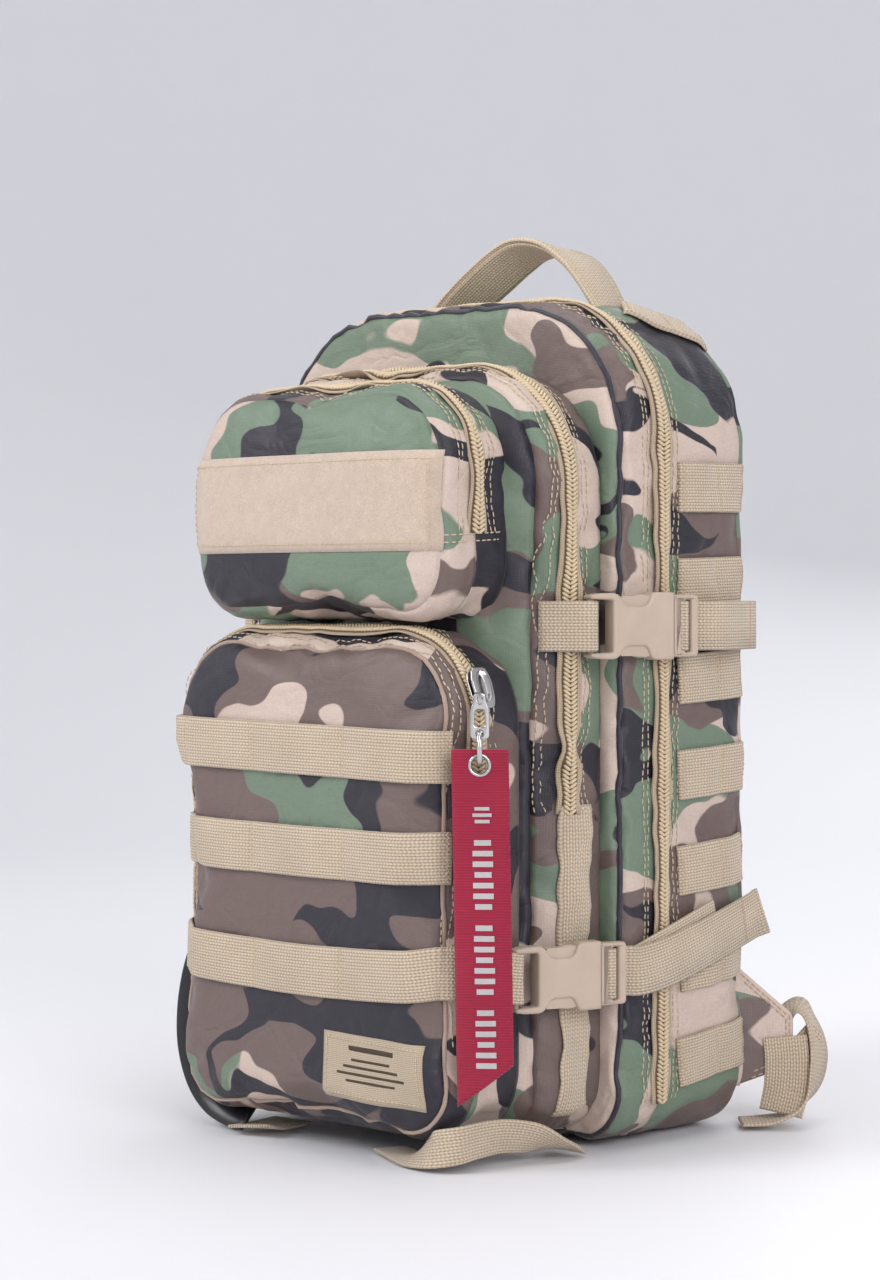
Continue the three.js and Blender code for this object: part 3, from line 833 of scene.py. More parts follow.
def sew(form, zip_y, swell, pucker, folds, rear, prints, nodes, front_move=None):
    """Swells, gathers and creases a form, then cuts it in three cloths: behind the zip, from there to the
    front seam, and the front. prints holds what camo() takes, and nodes the CAD nodes that they replace."""
    form.zip_ring = ring_at(form.profile, zip_y)
    form.simulate(*swell)
    form.points = seam_pucker(form.points, *pucker)
    finish_form(form, *folds)
    rings = (0, form.zip_ring, form.seam_ring, math.inf)
    cloths = [form.piece(f"{form.name}_{part}_cloth", a, b, camo(*look))
              for part, a, b, look in zip((rear, "edge", "front"), rings, rings[1:], prints)]
    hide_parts(nodes[0])
    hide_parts(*nodes[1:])
    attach(cloths[0], "root")
    for cloth in cloths[1:]:
        front_move(cloth) if front_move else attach(cloth, "root")


def build_main():
    p = place
    low, high = extent("rear_gusset")
    seams = ((p.main_ring + 3, 0.9), (p.main_zip, 0.95), (p.main_zip - 10, 0.85))
    profile = rounded_profile(p.main_back, p.main_face, [y for y, _ in seams], 9, 7)
    pins = {0: 1.0, 1: 0.9, **{ring_at(profile, y): weight for y, weight in seams}}
    pins.update({r: 1.0 for r in range(len(profile), len(profile) + 40)})
    pins[len(profile) - 1] = 0.9
    form = ClothForm("main", outline_of(low, high, 75, 30, 1.5), profile, pins, main_shape)
    sew(form, p.main_zip, (4.5, 0.03, 8), ([p.main_zip], 1.0, 15, 14, 0.4), (0.7, 2.4), "rear",
        ((0.31, 1.2, 0.7, (0.02, 0, 0)), (2.9, 3.4, 1.1, (0.02, -0.02, 0.05)),
         (2.30, 0.4, 1.9, (-0.02, -0.10, -0.03))), ("rear_gusset", "main_front_panel"))
    seam_piping(form, "main_piping", 1.5, looks.dark_cloth)
    back = back_panel(form, "main_back_cloth", camo(0.9, 2.8, 3.7))
    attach(back, "root")
    make_zip("main_zip", form, p.main_zip, 22)
    return form


def main_shape(points):
    """The bag narrows a little towards its front edge, and its flat bottom stays on the floor."""
    q = points.copy()
    q[:, 0] *= np.interp(q[:, 1] / MM, [-12, 30], [0.968, 1.0])
    q[:, 2] = np.maximum(q[:, 2], 0.4 * MM)
    return q


def build_middle():
    p = place
    profile = rounded_profile(p.main_face - 0.5, p.middle_face, [p.middle_zip], 18)
    form = ClothForm("middle", outline_of(*extent("middle_front_panel"), 60, 30, 1.5), profile,
                     {0: 1.0, ring_at(profile, p.middle_zip): 0.95})
    sew(form, p.middle_zip, (4.0, 0.035, 7), ([p.middle_zip, p.main_face - 2], 1.1, 13, 12, 1.9), (4.3, 3.0),
        "gusset", ((4.1, 2.2, 0.2), (0.7, 1.2, 2.3, (-0.02, 0, 0)), (1.7, 5.2, 3.3, (0.02, -0.04, -0.01))),
        ("middle_gusset", "middle_front_panel"))
    make_zip("middle_zip", form, p.middle_zip, 168)
    return form


def build_upper():
    p = place
    low, high = extent("upper_pocket_base")[0], extent("upper_pocket_gusset")[1]
    profile = rounded_profile(p.middle_face - 0.5, p.upper_face + 1, [p.upper_zip], 17, step=5)
    form = ClothForm("upper", outline_of(low, high, 42, 28, 2.0, 5.0), profile,
                     {0: 1.0, ring_at(profile, p.upper_zip): 0.95}, cap_step=5)
    sew(form, p.upper_zip, (4.0, 0.03, 6), ([p.upper_zip], 0.8, 9, 10, 4.0), (2.2, 2.2), "gusset",
        ((6.4, 0.9, 4.2), (5.1, 2.6, 0.4), (3.3, 3.1, 6.0, (0.08, -0.02, -0.01))),
        ("upper_pocket_gusset", "upper_pocket_flap", "upper_pocket_base"), flap_blend)
    make_zip("upper_zip", form, p.upper_zip, 304, 19, flap_blend)
    return form


def build_lower():
    p = place
    profile = rounded_profile(p.middle_face - 0.5, p.lower_face + 1, [p.lower_zip], 13, step=5)
    form = ClothForm("lower", outline_of(*extent("lower_pocket_front"), 45, 32, 2.0), profile,
                     {0: 1.0, ring_at(profile, p.lower_zip): 0.95})
    sew(form, p.lower_zip, (4.0, 0.03, 6), ([p.lower_zip], 0.8, 9, 11, 2.7), (6.1, 2.2), "gusset",
        ((0.9, 6.1, 2.8, (0, 0.03, 0.02)), (2.2, 1.4, 4.1, (-0.02, 0.05, 0.03)),
         (5.5, 4.4, 1.1, (-0.05, 0.15, 0.07))), ("lower_pocket_gusset", "lower_pocket_front"))
    seam_piping(form, "lower_piping", 1.1, looks.binding)
    make_zip("lower_zip", form, p.lower_zip, 60, 19)
    return form


# ---------------------------------------------------------------- webbing and trim laid on the cloth
COLUMNS = np.array([-1.0, -0.97, -0.86, -0.5, 0.0, 0.5, 0.86, 0.97, 1.0])
EDGE = np.array([0.25, 0.85, 1.10, 1.0, 1.0, 1.0, 1.10, 0.85, 0.25])


def bulges(count, tacks):
    """How far each station stands off the cloth, from 0 at a bar tack to 1 between two."""
    marks = sorted({0.0, 1.0, *tacks})
    t = np.linspace(0, 1, count)
    high = np.zeros(count)
    for a, b in zip(marks[:-1], marks[1:]):
        inside = (t >= a) & (t <= b)
        high[inside] = np.abs(np.sin(math.pi * (t[inside] - a) / (b - a))) ** 0.6
    return high


def ease(depth, rest, limit, times):
    """Smooths a grid of depths both ways, but never lets it pass the cloth, as stiff webbing does."""
    for _ in range(times):
        depth[1:-1] = (depth[:-2] + 2 * depth[1:-1] + depth[2:]) / 4
        depth[:, 1:-1] = (depth[:, :-2] + 2 * depth[:, 1:-1] + depth[:, 2:]) / 4
        depth = limit(depth, rest)
    return depth


def cloth_grid(tree, points, inward, wide, lift, rise):
    """A grid that lies on the cloth like a stiff strip: it bridges hollows and never goes under a bump."""
    line = resample(np.column_stack([points, np.asarray(inward, float) * 20]), 2.5)
    centre, into = line[:, :3] * MM, unit(line[:, 3:])
    along = unit(np.gradient(centre, axis=0))
    across = unit(np.cross(into, along))
    offsets = COLUMNS * wide / 2 * MM
    flat = centre[:, None] + across[:, None] * offsets[None, :, None]
    depth = np.array([[np.dot(land(tree, spot, way)[0] - spot, -way) for spot in row]
                      for row, way in zip(flat, into)])
    depth = ease(depth, depth.copy(), np.maximum, 8) + lift * MM
    depth += rise(len(centre))[:, None] * (1 - 0.35 * COLUMNS[None, :] ** 2) * MM
    return flat + depth[:, :, None] * -into[:, None], across, into, offsets


def strip_from_grid(name, top, into, offsets, thick, material, start=0.0):
    """A closed strip: the grid is its outer face, and the inner face lies `thick` below, with thin edges."""
    n, m = top.shape[:2]
    lengths = arc_lengths(top[:, m // 2]) + start
    outer = top + into[:, None] * ((1 - EDGE) * thick * 0.5 * MM)[None, :, None]
    inner = top + into[:, None] * ((1 + EDGE * 0.9) * thick * 0.5 * MM)[None, :, None]
    verts = np.concatenate([outer.reshape(-1, 3), inner.reshape(-1, 3)])
    uvs = [(lengths[i // m], offsets[i % m]) for i in range(n * m)] * 2
    under = n * m
    faces = []
    for i in range(n - 1):
        for k in range(m - 1):
            a = i * m + k
            faces.append((a, a + m, a + m + 1, a + 1))
            faces.append((under + a, under + a + 1, under + a + m + 1, under + a + m))
        for k in (0, m - 1):
            a, b = i * m + k, (i + 1) * m + k
            ring = (a, under + a, under + b, b)
            faces.append(ring if k == 0 else ring[::-1])
    for i in (0, n - 1):
        for k in range(m - 1):
            a, b = i * m + k, i * m + k + 1
            ring = (a, b, under + b, under + a)
            faces.append(ring if i == 0 else ring[::-1])
    return make_object(name, verts, faces, [material], uvs)


def tack_rows(name, top, across, into, tacks):
    """Bar tacks: dense zigzag stitches over the width of a strip, at shares of its length."""
    n, m = top.shape[:2]
    places, axes = [], []
    for t in tacks:
        i = int(np.clip(round(t * (n - 1)), 1, n - 2))
        along = unit(top[i + 1, m // 2] - top[i - 1, m // 2])
        count = int(np.linalg.norm(top[i, -1] - top[i, 0]) / (1.35 * MM))
        for k, share in enumerate(np.linspace(0.05, 0.95, count)):
            here = point_at(top[i], COLUMNS, share * 2 - 1)
            zig = 0.5 if k % 2 else -0.5
            places.append(here + along * zig * MM - into[i] * 0.15 * MM)
            axes.append((unit(across[i] + along * zig * 1.4), along, -into[i]))
    return scatter(name, places, axes, *bead(2.1, 0.65, 0.5), looks.thread)


def laid_web(name, tree, points, inward, tacks, wide=25.0, thick=1.6, lift=1.5, bulge=1.5):
    """A web laid on the cloth, held by bar tacks and standing proud between them."""
    top, across, into, offsets = cloth_grid(tree, points, inward, wide, lift,
                                            lambda count: bulges(count, tacks) * bulge)
    strip = strip_from_grid(name, top, into, offsets, thick, looks.webbing, random.uniform(0, 0.02))
    rows = tack_rows(name + "_tacks", top, across, into, [*tacks, 0.02, 0.98])
    ride_all("root", "webbing", strip, rows)
    return strip


def corner_line(form, y_face, degrees, z, sag, reach=13):
    """Points round the front corners of a pocket at one height, with the way into the cloth."""
    half = form.outline.half
    points, inward = [], []

    def corner(sign, angles):
        for t in map(math.radians, angles):
            x = sign * (half - reach + reach * math.sin(t))
            points.append((x, y_face + reach * (1 - math.cos(t)), z))
            inward.append((-sign * math.sin(t), math.cos(t), 0))

    corner(-1, degrees[::-1])
    for x in np.linspace(-(half - reach) + 8, half - reach - 8, 9):
        points.append((x, y_face, z - sag * (1 - (x / half) ** 2)))
        inward.append((0, 1, 0))
    corner(1, degrees)
    return points, inward


def build_front_rows():
    form, face = lower_form, place.lower_face
    for node, sag, slope in (("web_row_top", 0.0, 1.5), ("web_row_middle", 1.0, 0.5)):
        points, inward = corner_line(form, face, (15, 35, 60), centre_of(node)[2], sag)
        points = [(x, y, height - slope * x / 90) for x, y, height in points]
        row = laid_web(node + "_web", form.tree, points, inward, (0.13, 0.36, 0.65), bulge=2.4)
        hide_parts(node)
    z, side = centre_of("web_row_bottom")[2], form.outline.half
    points, inward = corner_line(form, face, (15, 35, 55, 75, 90), z, 4.0)
    points = [(-side, -84, z), (-side, -90, z)] + points + [(side, -90, z), (side, -84, z)]
    inward = [(1, 0, 0)] * 2 + inward + [(-1, 0, 0)] * 2
    row = laid_web("web_row_bottom_web", form.tree, points, inward, (0.20, 0.39, 0.62), bulge=2.4)
    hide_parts("web_row_bottom")


def build_side_rows():
    low, high = extent("side_webbing_right")
    first, last = low[2] + 12.5, high[2] - 12.5
    front, rear = low[1], high[1]
    for word, sign in (("right", 1), ("left", -1)):
        for number, z in enumerate(np.linspace(last, first, 7)):
            rise = 1.0 + 5.0 * number / 6
            points = [(sign * high[0], y, z + rise * (y - front) / (rear - front))
                      for y in np.linspace(front, rear - 1.5, 6)]
            row = laid_web(f"side_row_{word}_{number + 1}", main_form.tree, points, [(-sign, 0, 0)] * 6,
                           (0.55,))
            if number == 0:
                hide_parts(f"side_webbing_{word}")


def build_middle_strips():
    """Narrow webs that close the middle compartment's side below its zip."""
    for word, sign in (("right", 1), ("left", -1)):
        x, y = sign * (place.middle_half - 0.5), place.middle_zip + 4
        points = [(x, y, z) for z in np.linspace(172, 20, 9)]
        laid_web(f"middle_strip_{word}", middle_form.tree, points, [(-sign, 0, 0)] * 9, (), 18, 1.5, 1.4, 0)


def border_of(rows, columns):
    """The row and column of each point round the edge of a grid, in order."""
    border = [(0, c) for c in range(columns)] + [(r, columns - 1) for r in range(1, rows)]
    border += [(rows - 1, c) for c in range(columns - 2, -1, -1)]
    return border + [(r, 0) for r in range(rows - 2, 0, -1)]


def cloth_patch(name, form, low, high, material, lift, thick, tilt=0.0, step=4.0):
    """A flat piece sewn on the front of a pocket between two corners in X and Z."""
    xs = np.linspace(low[0], high[0], max(int((high[0] - low[0]) / step), 3) + 1)
    zs = np.linspace(low[1], high[1], max(int((high[1] - low[1]) / step), 3) + 1)
    middle = ((low[0] + high[0]) / 2, (low[1] + high[1]) / 2)
    turn = math.tan(math.radians(tilt))
    depth = np.zeros((len(zs), len(xs)))
    where = np.zeros((len(zs), len(xs), 2))
    for r, z in enumerate(zs):
        for c, x in enumerate(xs):
            where[r, c] = (x - (z - middle[1]) * turn, z + (x - middle[0]) * turn)
            hit, _ = land(form.tree, (where[r, c, 0] * MM, form.front * MM, where[r, c, 1] * MM), (0, 1, 0))
            depth[r, c] = hit[1]
    depth = ease(depth, depth.copy(), np.minimum, 4)
    rows, columns = depth.shape
    outer = np.dstack([where[:, :, 0] * MM, depth - lift * MM, where[:, :, 1] * MM])
    edge = np.minimum.outer(np.minimum(np.arange(rows), np.arange(rows)[::-1]), np.full(columns, 99))
    edge = np.minimum(edge, np.minimum(np.arange(columns), np.arange(columns)[::-1])[None, :])
    outer[:, :, 1] += np.where(edge == 0, thick * 0.6, 0) * MM
    inner = outer.copy()
    inner[:, :, 1] = depth + 0.2 * MM
    verts = np.concatenate([outer.reshape(-1, 3), inner.reshape(-1, 3)])
    uvs = [(v[0], v[2]) for v in verts]
    under = rows * columns
    faces = []
    for r in range(rows - 1):
        for c in range(columns - 1):
            a = r * columns + c
            faces.append((a, a + 1, a + columns + 1, a + columns))
            faces.append((under + a, under + a + columns, under + a + columns + 1, under + a + 1))
    border = border_of(rows, columns)
    for (r0, c0), (r1, c1) in zip(border, border[1:] + border[:1]):
        a, b = r0 * columns + c0, r1 * columns + c1
        faces.append((a, under + a, under + b, b))
    return make_object(name, verts, faces, [material], uvs), outer


def edge_stitches(name, outer, pitch=3.2):
    """Stitches round a patch, one grid row in from its edge."""
    path = np.array([outer[1:-1, 1:-1][spot] for spot in border_of(*np.subtract(outer.shape[:2], 2))])
    path = np.vstack([path, path[:1]])
    return stitches(name, path, np.tile((0.0, -1.0, 0.0), (len(path), 1)), 0, pitch, pitch * 0.7, 0.2)


def build_loop_patch():
    patch, outer = cloth_patch("loop_patch", upper_form, (-84, 295), (84, 343), looks.loop, 1.7, 2.0)
    for piece in (patch, edge_stitches("loop_patch_stitches", outer)):
        flap_blend(piece)


def build_label():
    """A woven label with plain generic bars in place of any text."""
    tilt, step = -2.0, 2.5
    turn = math.tan(math.radians(tilt))
    patch, outer = cloth_patch("label", lower_form, (19, 30), (81, 62), looks.label, 0.9, 0.8, tilt, step)
    pieces = [patch, edge_stitches("label_stitches", outer, 2.4)]
    bars = ((55.5, 36, 64, 2.4), (50.0, 38, 62, 1.2), (46.6, 33, 67, 1.2), (43.2, 29, 71, 1.2),
            (39.8, 35, 65, 1.2))
    for number, (z, left, right, high) in enumerate(bars):
        across, up = (z - 46) * turn, ((left + right) / 2 - 50) * turn
        pieces.append(cloth_patch(f"label_bar_{number + 1}", lower_form, (left - across, z - high / 2 + up),
                                  (right - across, z + high / 2 + up), looks.ink, 1.15, 0.2, tilt, step)[0])
    ride_all("root", "webbing", *pieces)


def flap_blend(piece):
    """Bakes the placement of a piece on the upper pocket's front into its mesh."""
    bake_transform(piece)


# ---------------------------------------------------------------- straps, buckles and metalwork
UP = (0.0, 0.0, 1.0)


def strap(name, points, wide):
    """A strap whose faces stand upright: it bends in plan, and may climb."""
    line = resample(points, 1.5) * MM
    along = unit(np.gradient(line, axis=0))
    return sweep(name, line, unit(np.cross(along, UP)), web_section(wide, 1.5), looks.webbing)


def turning_line(stations, step):
    """Points and facings along (point, across) stations, in metres."""
    rows = [[*point, *(np.array(across) / np.linalg.norm(across) * 20)] for point, across in stations]
    line = resample(rows, step)
    points, across = line[:, :3] * MM, unit(line[:, 3:])
    return points, unit(np.cross(unit(np.gradient(points, axis=0)), across))


def twisted(name, stations, wide, thick, step=2.5, material=None):
    """A strap through (point, across) stations, so that it can turn over on its way."""
    return sweep(name, *turning_line(stations, step), web_section(wide, thick), material or looks.webbing)


def rounded(corners, steps=4):
    """A polygon from (x, y, radius) corners, each rounded off."""
    out = []
    count = len(corners)
    for i, (x, y, radius) in enumerate(corners):
        here = np.array((x, y), float)
        before = np.array(corners[i - 1][:2]) - here
        after = np.array(corners[(i + 1) % count][:2]) - here
        room = 0.48 * min(np.linalg.norm(before), np.linalg.norm(after))
        cut = min(radius, room)
        if cut < 0.05:
            out.append(tuple(here))
            continue
        a, b = here + before / np.linalg.norm(before) * cut, here + after / np.linalg.norm(after) * cut
        for t in np.linspace(0, 1, steps + 1):
            out.append(tuple((1 - t) ** 2 * a + 2 * t * (1 - t) * here + t ** 2 * b))
    return out


def circle(x, y, radius, sides=24):
    return [(x + radius * math.cos(2 * math.pi * k / sides), y + radius * math.sin(2 * math.pi * k / sides))
            for k in range(sides)]


def curve_mesh(curve, lines, closed):
    """The mesh of a thickened curve through lines of points."""
    for line in lines:
        spline = curve.splines.new("POLY")
        spline.points.add(len(line) - 1)
        for point, where in zip(spline.points, line):
            point.co = (*where, 1)
        spline.use_cyclic_u = closed
    holder = bpy.data.objects.new(curve.name, curve)
    scene.collection.objects.link(holder)
    bpy.context.view_layer.update()
    mesh = bpy.data.meshes.new_from_object(holder.evaluated_get(bpy.context.evaluated_depsgraph_get()))
    bpy.data.objects.remove(holder)
    return mesh


def plate(name, loops, thick, bevel, matrix, material, rounds=2):
    """A plate with rounded edges from closed loops (the first is the outline, the rest are holes), in mm.
    `matrix` holds the origin and the plate's own three directions: two in its plane, and out of it."""
    curve = bpy.data.curves.new(name + "_curve", "CURVE")
    curve.dimensions = "2D"
    curve.fill_mode = "BOTH"
    curve.extrude = thick / 2 - bevel
    curve.bevel_depth = bevel
    curve.bevel_resolution = rounds
    curve.offset = -bevel
    source = curve_mesh(curve, [[(x, y, 0) for x, y in loop] for loop in loops], True)
    origin, a, b, c = (np.array(v, float) for v in matrix)
    local = np.array([v.co for v in source.vertices])
    points = origin * MM + (local[:, 0:1] * a + local[:, 1:2] * b + local[:, 2:3] * c) * MM
    faces = [tuple(p.vertices) for p in source.polygons]
    piece = make_object(name, points, faces, [material])
    tidy(piece)
    return piece


def tidy(piece, angle=40.0):
    """Joins doubled vertices, turns the faces outward and keeps sharp edges sharp."""
    mesh = bmesh.new()
    mesh.from_mesh(piece.data)
    bmesh.ops.remove_doubles(mesh, verts=mesh.verts, dist=0.02 * MM)
    bmesh.ops.recalc_face_normals(mesh, faces=mesh.faces)
    limit = math.radians(angle)
    for edge in mesh.edges:
        if len(edge.link_faces) == 2 and edge.calc_face_angle(0) > limit:
            edge.smooth = False
    mesh.to_mesh(piece.data)
    mesh.free()


def join(name, pieces):
    """Several pieces as one mesh."""
    points, faces, slots, materials = [], [], [], []
    for piece in pieces:
        base = len(points)
        points += [tuple(v.co) for v in piece.data.vertices]
        number = len(materials)
        materials += list(piece.data.materials)
        for polygon in piece.data.polygons:
            faces.append(tuple(base + i for i in polygon.vertices))
            slots.append(number + polygon.material_index)
        bpy.data.objects.remove(piece)
    unique = list(dict.fromkeys(materials))
    slots = [unique.index(materials[s]) for s in slots]
    whole = make_object(name, points, faces, unique, slots=slots)
    tidy(whole)
    return whole


def carve(piece, cutter):
    """Takes one closed solid out of another, and removes it."""
    hole = piece.modifiers.new("cut", "BOOLEAN")
    hole.operation = "DIFFERENCE"
    hole.solver = "EXACT"
    hole.object = cutter
    apply_modifiers(piece)
    bpy.data.objects.remove(cutter)


def cutter_block(low, high, matrix):
    corners = [(x, y, z) for x in (low[0], high[0]) for y in (low[1], high[1]) for z in (low[2], high[2])]
    origin, a, b, c = (np.array(v, float) for v in matrix)
    points = [origin * MM + (x * a + y * b + z * c) * MM for x, y, z in corners]
    faces = [(0, 1, 3, 2), (4, 6, 7, 5), (0, 4, 5, 1), (2, 3, 7, 6), (0, 2, 6, 4), (1, 5, 7, 3)]
    piece = make_object("cutter", points, faces, [], smooth=False)
    tidy(piece)
    return piece


def wire(name, points, radius, material, sides=10, closed=False):
    """Round wire along a line of points in mm."""
    curve = bpy.data.curves.new(name + "_curve", "CURVE")
    curve.dimensions = "3D"
    curve.bevel_depth = radius * MM
    curve.bevel_resolution = sides // 4
    curve.use_fill_caps = True
    mesh = curve_mesh(curve, [[np.asarray(p) * MM for p in points]], closed)
    piece = bpy.data.objects.new(name, mesh)
    scene.collection.objects.link(piece)
    mesh.materials.clear()
    mesh.materials.append(material)
    mesh.polygons.foreach_set("use_smooth", [True] * len(mesh.polygons))
    return piece


BUCKLE = {"front": -9.0, "mouth": 40.0, "end": 55.5, "half": 16.6, "thick": 9.0}
SPLAY = math.radians(17)
WEB_BAR = -7.0


def mirrored_outline(upper):
    """A closed outline from its upper half, given from front to back."""
    return [(x, y, r) for x, y, r in upper] + [(x, -y, r) for x, y, r in reversed(upper)]


class BuckleFrame:
    """One buckle's own directions: along it to the rear, up, and out of the bag."""

    def __init__(self, node, sign):
        self.along = np.array((sign * math.sin(SPLAY), math.cos(SPLAY), 0))
        self.out = np.array((sign * math.cos(SPLAY), -math.sin(SPLAY), 0))
        self.origin = centre_of(node) - self.along * (BUCKLE["front"] + BUCKLE["mouth"]) / 2
        self.matrix = (self.origin, self.along, UP, self.out)

    def point(self, along, out=0.0, up=0.0):
        return self.origin + self.along * along + self.out * out + np.array(UP) * up


def build_buckle(level, word, sign):
    name = f"{level}_{word}"
    own = BuckleFrame(name + "_socket", sign)
    half = BUCKLE["half"]
    shell = mirrored_outline([(3.6, 12.8, 1.2), (BUCKLE["front"], 13.2, 0.8), (BUCKLE["front"], 15.0, 1.2),
                              (-4.0, 16.0, 3.0), (6.5, 16.2, 3.0), (11.0, 9.8, 2.6), (23.8, 9.6, 2.6),
                              (27.0, half, 2.6), (BUCKLE["mouth"], half, 1.2)])
    socket = plate(name + "_socket_shell", [rounded(shell)], BUCKLE["thick"], 1.5, own.matrix,
                   looks.plastic, 3)
    carve(socket, cutter_block((9.0, -14.6, -2.6), (BUCKLE["mouth"] + 2, 14.6, 2.6), own.matrix))
    tidy(socket)
    bar = wire(name + "_socket_bar", [own.point(WEB_BAR, 0, z) for z in (-14.2, 14.2)], 1.5, looks.plastic)
    pieces = [("socket", "root", join(name + "_socket_piece", [socket, bar]))]
    end = BUCKLE["end"]
    base = mirrored_outline([(BUCKLE["mouth"] + 0.4, 15.4, 0.8), (end - 1.0, 15.2, 1.6), (end, 13.6, 1.2)])
    slots = [rounded(mirrored_outline([(a, 12.9, 0.8), (b, 12.9, 0.8)]))
             for a, b in ((42.0, 45.2), (47.6, 51.0))]
    body = plate(name + "_plug_body", [rounded(base), *slots], 6.4, 1.5, own.matrix, looks.plastic, 3)
    tongue = rounded(mirrored_outline([(16.0, 2.4, 1.4), (41.0, 2.8, 0.2)]))
    tongue = plate(name + "_tongue", [tongue], 3.6, 0.8, own.matrix, looks.plastic)
    pieces.append(("plug", f"{name}_plug", join(name + "_plug_piece", [body, tongue])))
    outline = [(39.6, 6.0, 0.5), (39.6, 10.2, 0.5), (29.0, 13.6, 3.0), (25.5, 15.5, 2.6), (18.4, 15.5, 3.0),
               (12.0, 11.6, 1.6), (14.5, 10.6, 1.2), (24.0, 9.0, 3.0), (32.0, 7.4, 2.0)]
    for where, turn in (("prong_top", 1), ("prong_bottom", -1)):
        loop = [(x, y * turn) for x, y in rounded(outline)]
        prong = plate(f"{name}_{where}_piece", [loop], 4.4, 1.2, own.matrix, looks.plastic)
        pieces.append((where, f"{name}_{where}", prong))
    for part, body, piece in pieces:
        ride_all(body, "buckle_plastic", piece)
        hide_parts(f"{name}_{part}")
    return own


def tilted(points, start, end):
    """Moves a line's height from `start` at its first point to `end` at its last."""
    lengths = arc_lengths(np.asarray(points, float))
    return [(p[0], p[1], start + (end - start) * s) for p, s in zip(points, lengths / lengths[-1])]


def build_front_straps(level, word, sign, own):
    """The short doubled web that holds a socket to the pocket or compartment in front of it."""
    name = f"{level}_front_strap_{word}_web"
    upper, z = level == "upper", own.origin[2]
    if upper:
        form, start = middle_form, z
        lead = [((103, -54), (-0.6, 0.8, 0)), ((108, -47), (-1, 0.2, 0)), ((110, -41), (-1, 0, 0))]
    else:
        form, start = lower_form, z + 5.0
        lead = [((97, -97), (-1, 0.1, 0)), ((97, -90), (-1, 0, 0)), ((97, -84), (-1, 0, 0))]
    points = []
    for ((x, y), (a, b, c)), lift in zip(lead, (1.6, 2.4, 3.6)):
        hit, normal = land(form.tree, np.array((sign * x, y, start)) * MM, (sign * a, b, c))
        points.append((hit + normal * lift * MM) / MM)
    turn = [own.point(WEB_BAR + 2.9 * math.sin(t), 2.9 * math.cos(t)) for t in np.linspace(0, math.pi, 6)]
    outer = points + [own.point(WEB_BAR - 4.5, 2.6)] + turn
    back = [own.point(WEB_BAR - 4.0, -3.0)] + [p - own.out * 2.2 for p in reversed(points[1:])]
    if upper:
        path = tilted(outer + back, start, z)
    else:
        path = tilted(outer, start, z) + [(p[0], p[1], z) for p in back]
    front = strap(name, path, 24.6)
    ride_all("root", "webbing", front)
    if upper:
        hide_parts(f"upper_front_strap_{word}")
        bar_tack(name + "_tack", np.array(points), sign, 0.5)


def build_rear_straps(level, word, sign, own):
    """The adjustable strap from a plug to the rear seam, doubled through the plug's two bars."""
    name = f"{level}_rear_strap_{word}"
    rear = extent("side_webbing_right")[1][1]
    if level == "upper":
        ahead, tail_ahead = (70, -0.6), (68, -3.0)
        route = [(138.6, 56, 0), (134.5, 72, 0), (129.8, 83, 0), (128.6, rear + 1, 0)]
        tail = [(137.5, 52, 0), (134.5, 66, 1)]
    else:
        ahead, tail_ahead = (68, -1.0), (66, -3.6)
        route = [(129.0, 16, 3), (131.0, 40, 9), (130.2, 66, 15), (128.8, rear, 20), (130.5, rear + 6, 22)]
        tail = [(127.0, 16, 7), (128.6, 38, 14), (128.4, 56, 19)]

    def placed(line):
        return [(sign * x, y, own.origin[2] + up) for x, y, up in line]

    route = [own.point(*ahead)] + placed(route)
    through = [own.point(a, b) for a, b in ((60, -2.6), (55.5, -4.0), (51.2, -3.2), (49.6, 0.4), (48.2, 3.0),
                                            (46.2, 3.9), (44.6, 2.4), (43.6, -0.6), (44.4, -4.4))]
    main = strap(name + "_web", route[::-1] + through, 24.6)
    under = strap(name + "_tail", [own.point(45.5, -5.6), own.point(56, -6.0), own.point(*tail_ahead),
                                   *placed(tail)], 24.0)
    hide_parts(name)
    start, end = own.point(104) * MM, own.point(62) * MM
    for piece in (main, under):
        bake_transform(piece)
    bar_tack(name + "_tack", resample(route[-3:], 2.0), sign, 0.45)


def build_compression():
    for word, sign in (("right", 1), ("left", -1)):
        for level in ("upper", "lower"):
            own = build_buckle(level, word, sign)
            build_front_straps(level, word, sign, own)
            build_rear_straps(level, word, sign, own)


def slider_piece(name, node, along, out, material, size=1.0):
    """A zip slider: two shield plates round the coil, joined by a post, with an arched bridge on top."""
    origin = centre_of(node)
    along, out = np.array(along, float), np.array(out, float)
    across = np.cross(out, along)
    shield = [(-7.2, 3.0, 1.6), (-4.0, 4.4, 2.0), (2.5, 4.9, 2.0), (6.8, 3.2, 1.4)]
    loop = [(x * size, y * size) for x, y in rounded(mirrored_outline(shield))]
    top = plate(name + "_top", [loop], 1.5, 0.6, (origin + out * 1.2, along, across, out), material, 3)
    low_plate = plate(name + "_low", [loop], 1.0, 0.4, (origin - out * 1.6, along, across, out), material)
    arch = [origin + along * x * size + out * y for x, y in
            ((-4.6, 1.2), (-4.4, 3.0), (-2.8, 4.3), (0.2, 4.7), (3.0, 4.2), (4.6, 2.8), (4.8, 1.2))]
    bridge = wire(name + "_bridge", resample(arch, 0.8), 0.95 * size, material)
    post = plate(name + "_post", [circle(4.0 * size, 0, 1.2)], 4.0, 0.1,
                 (origin - out * 0.6, along, across, out), material, 1)
    whole = join(name, [top, low_plate, bridge, post])
    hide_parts(node)
    return whole


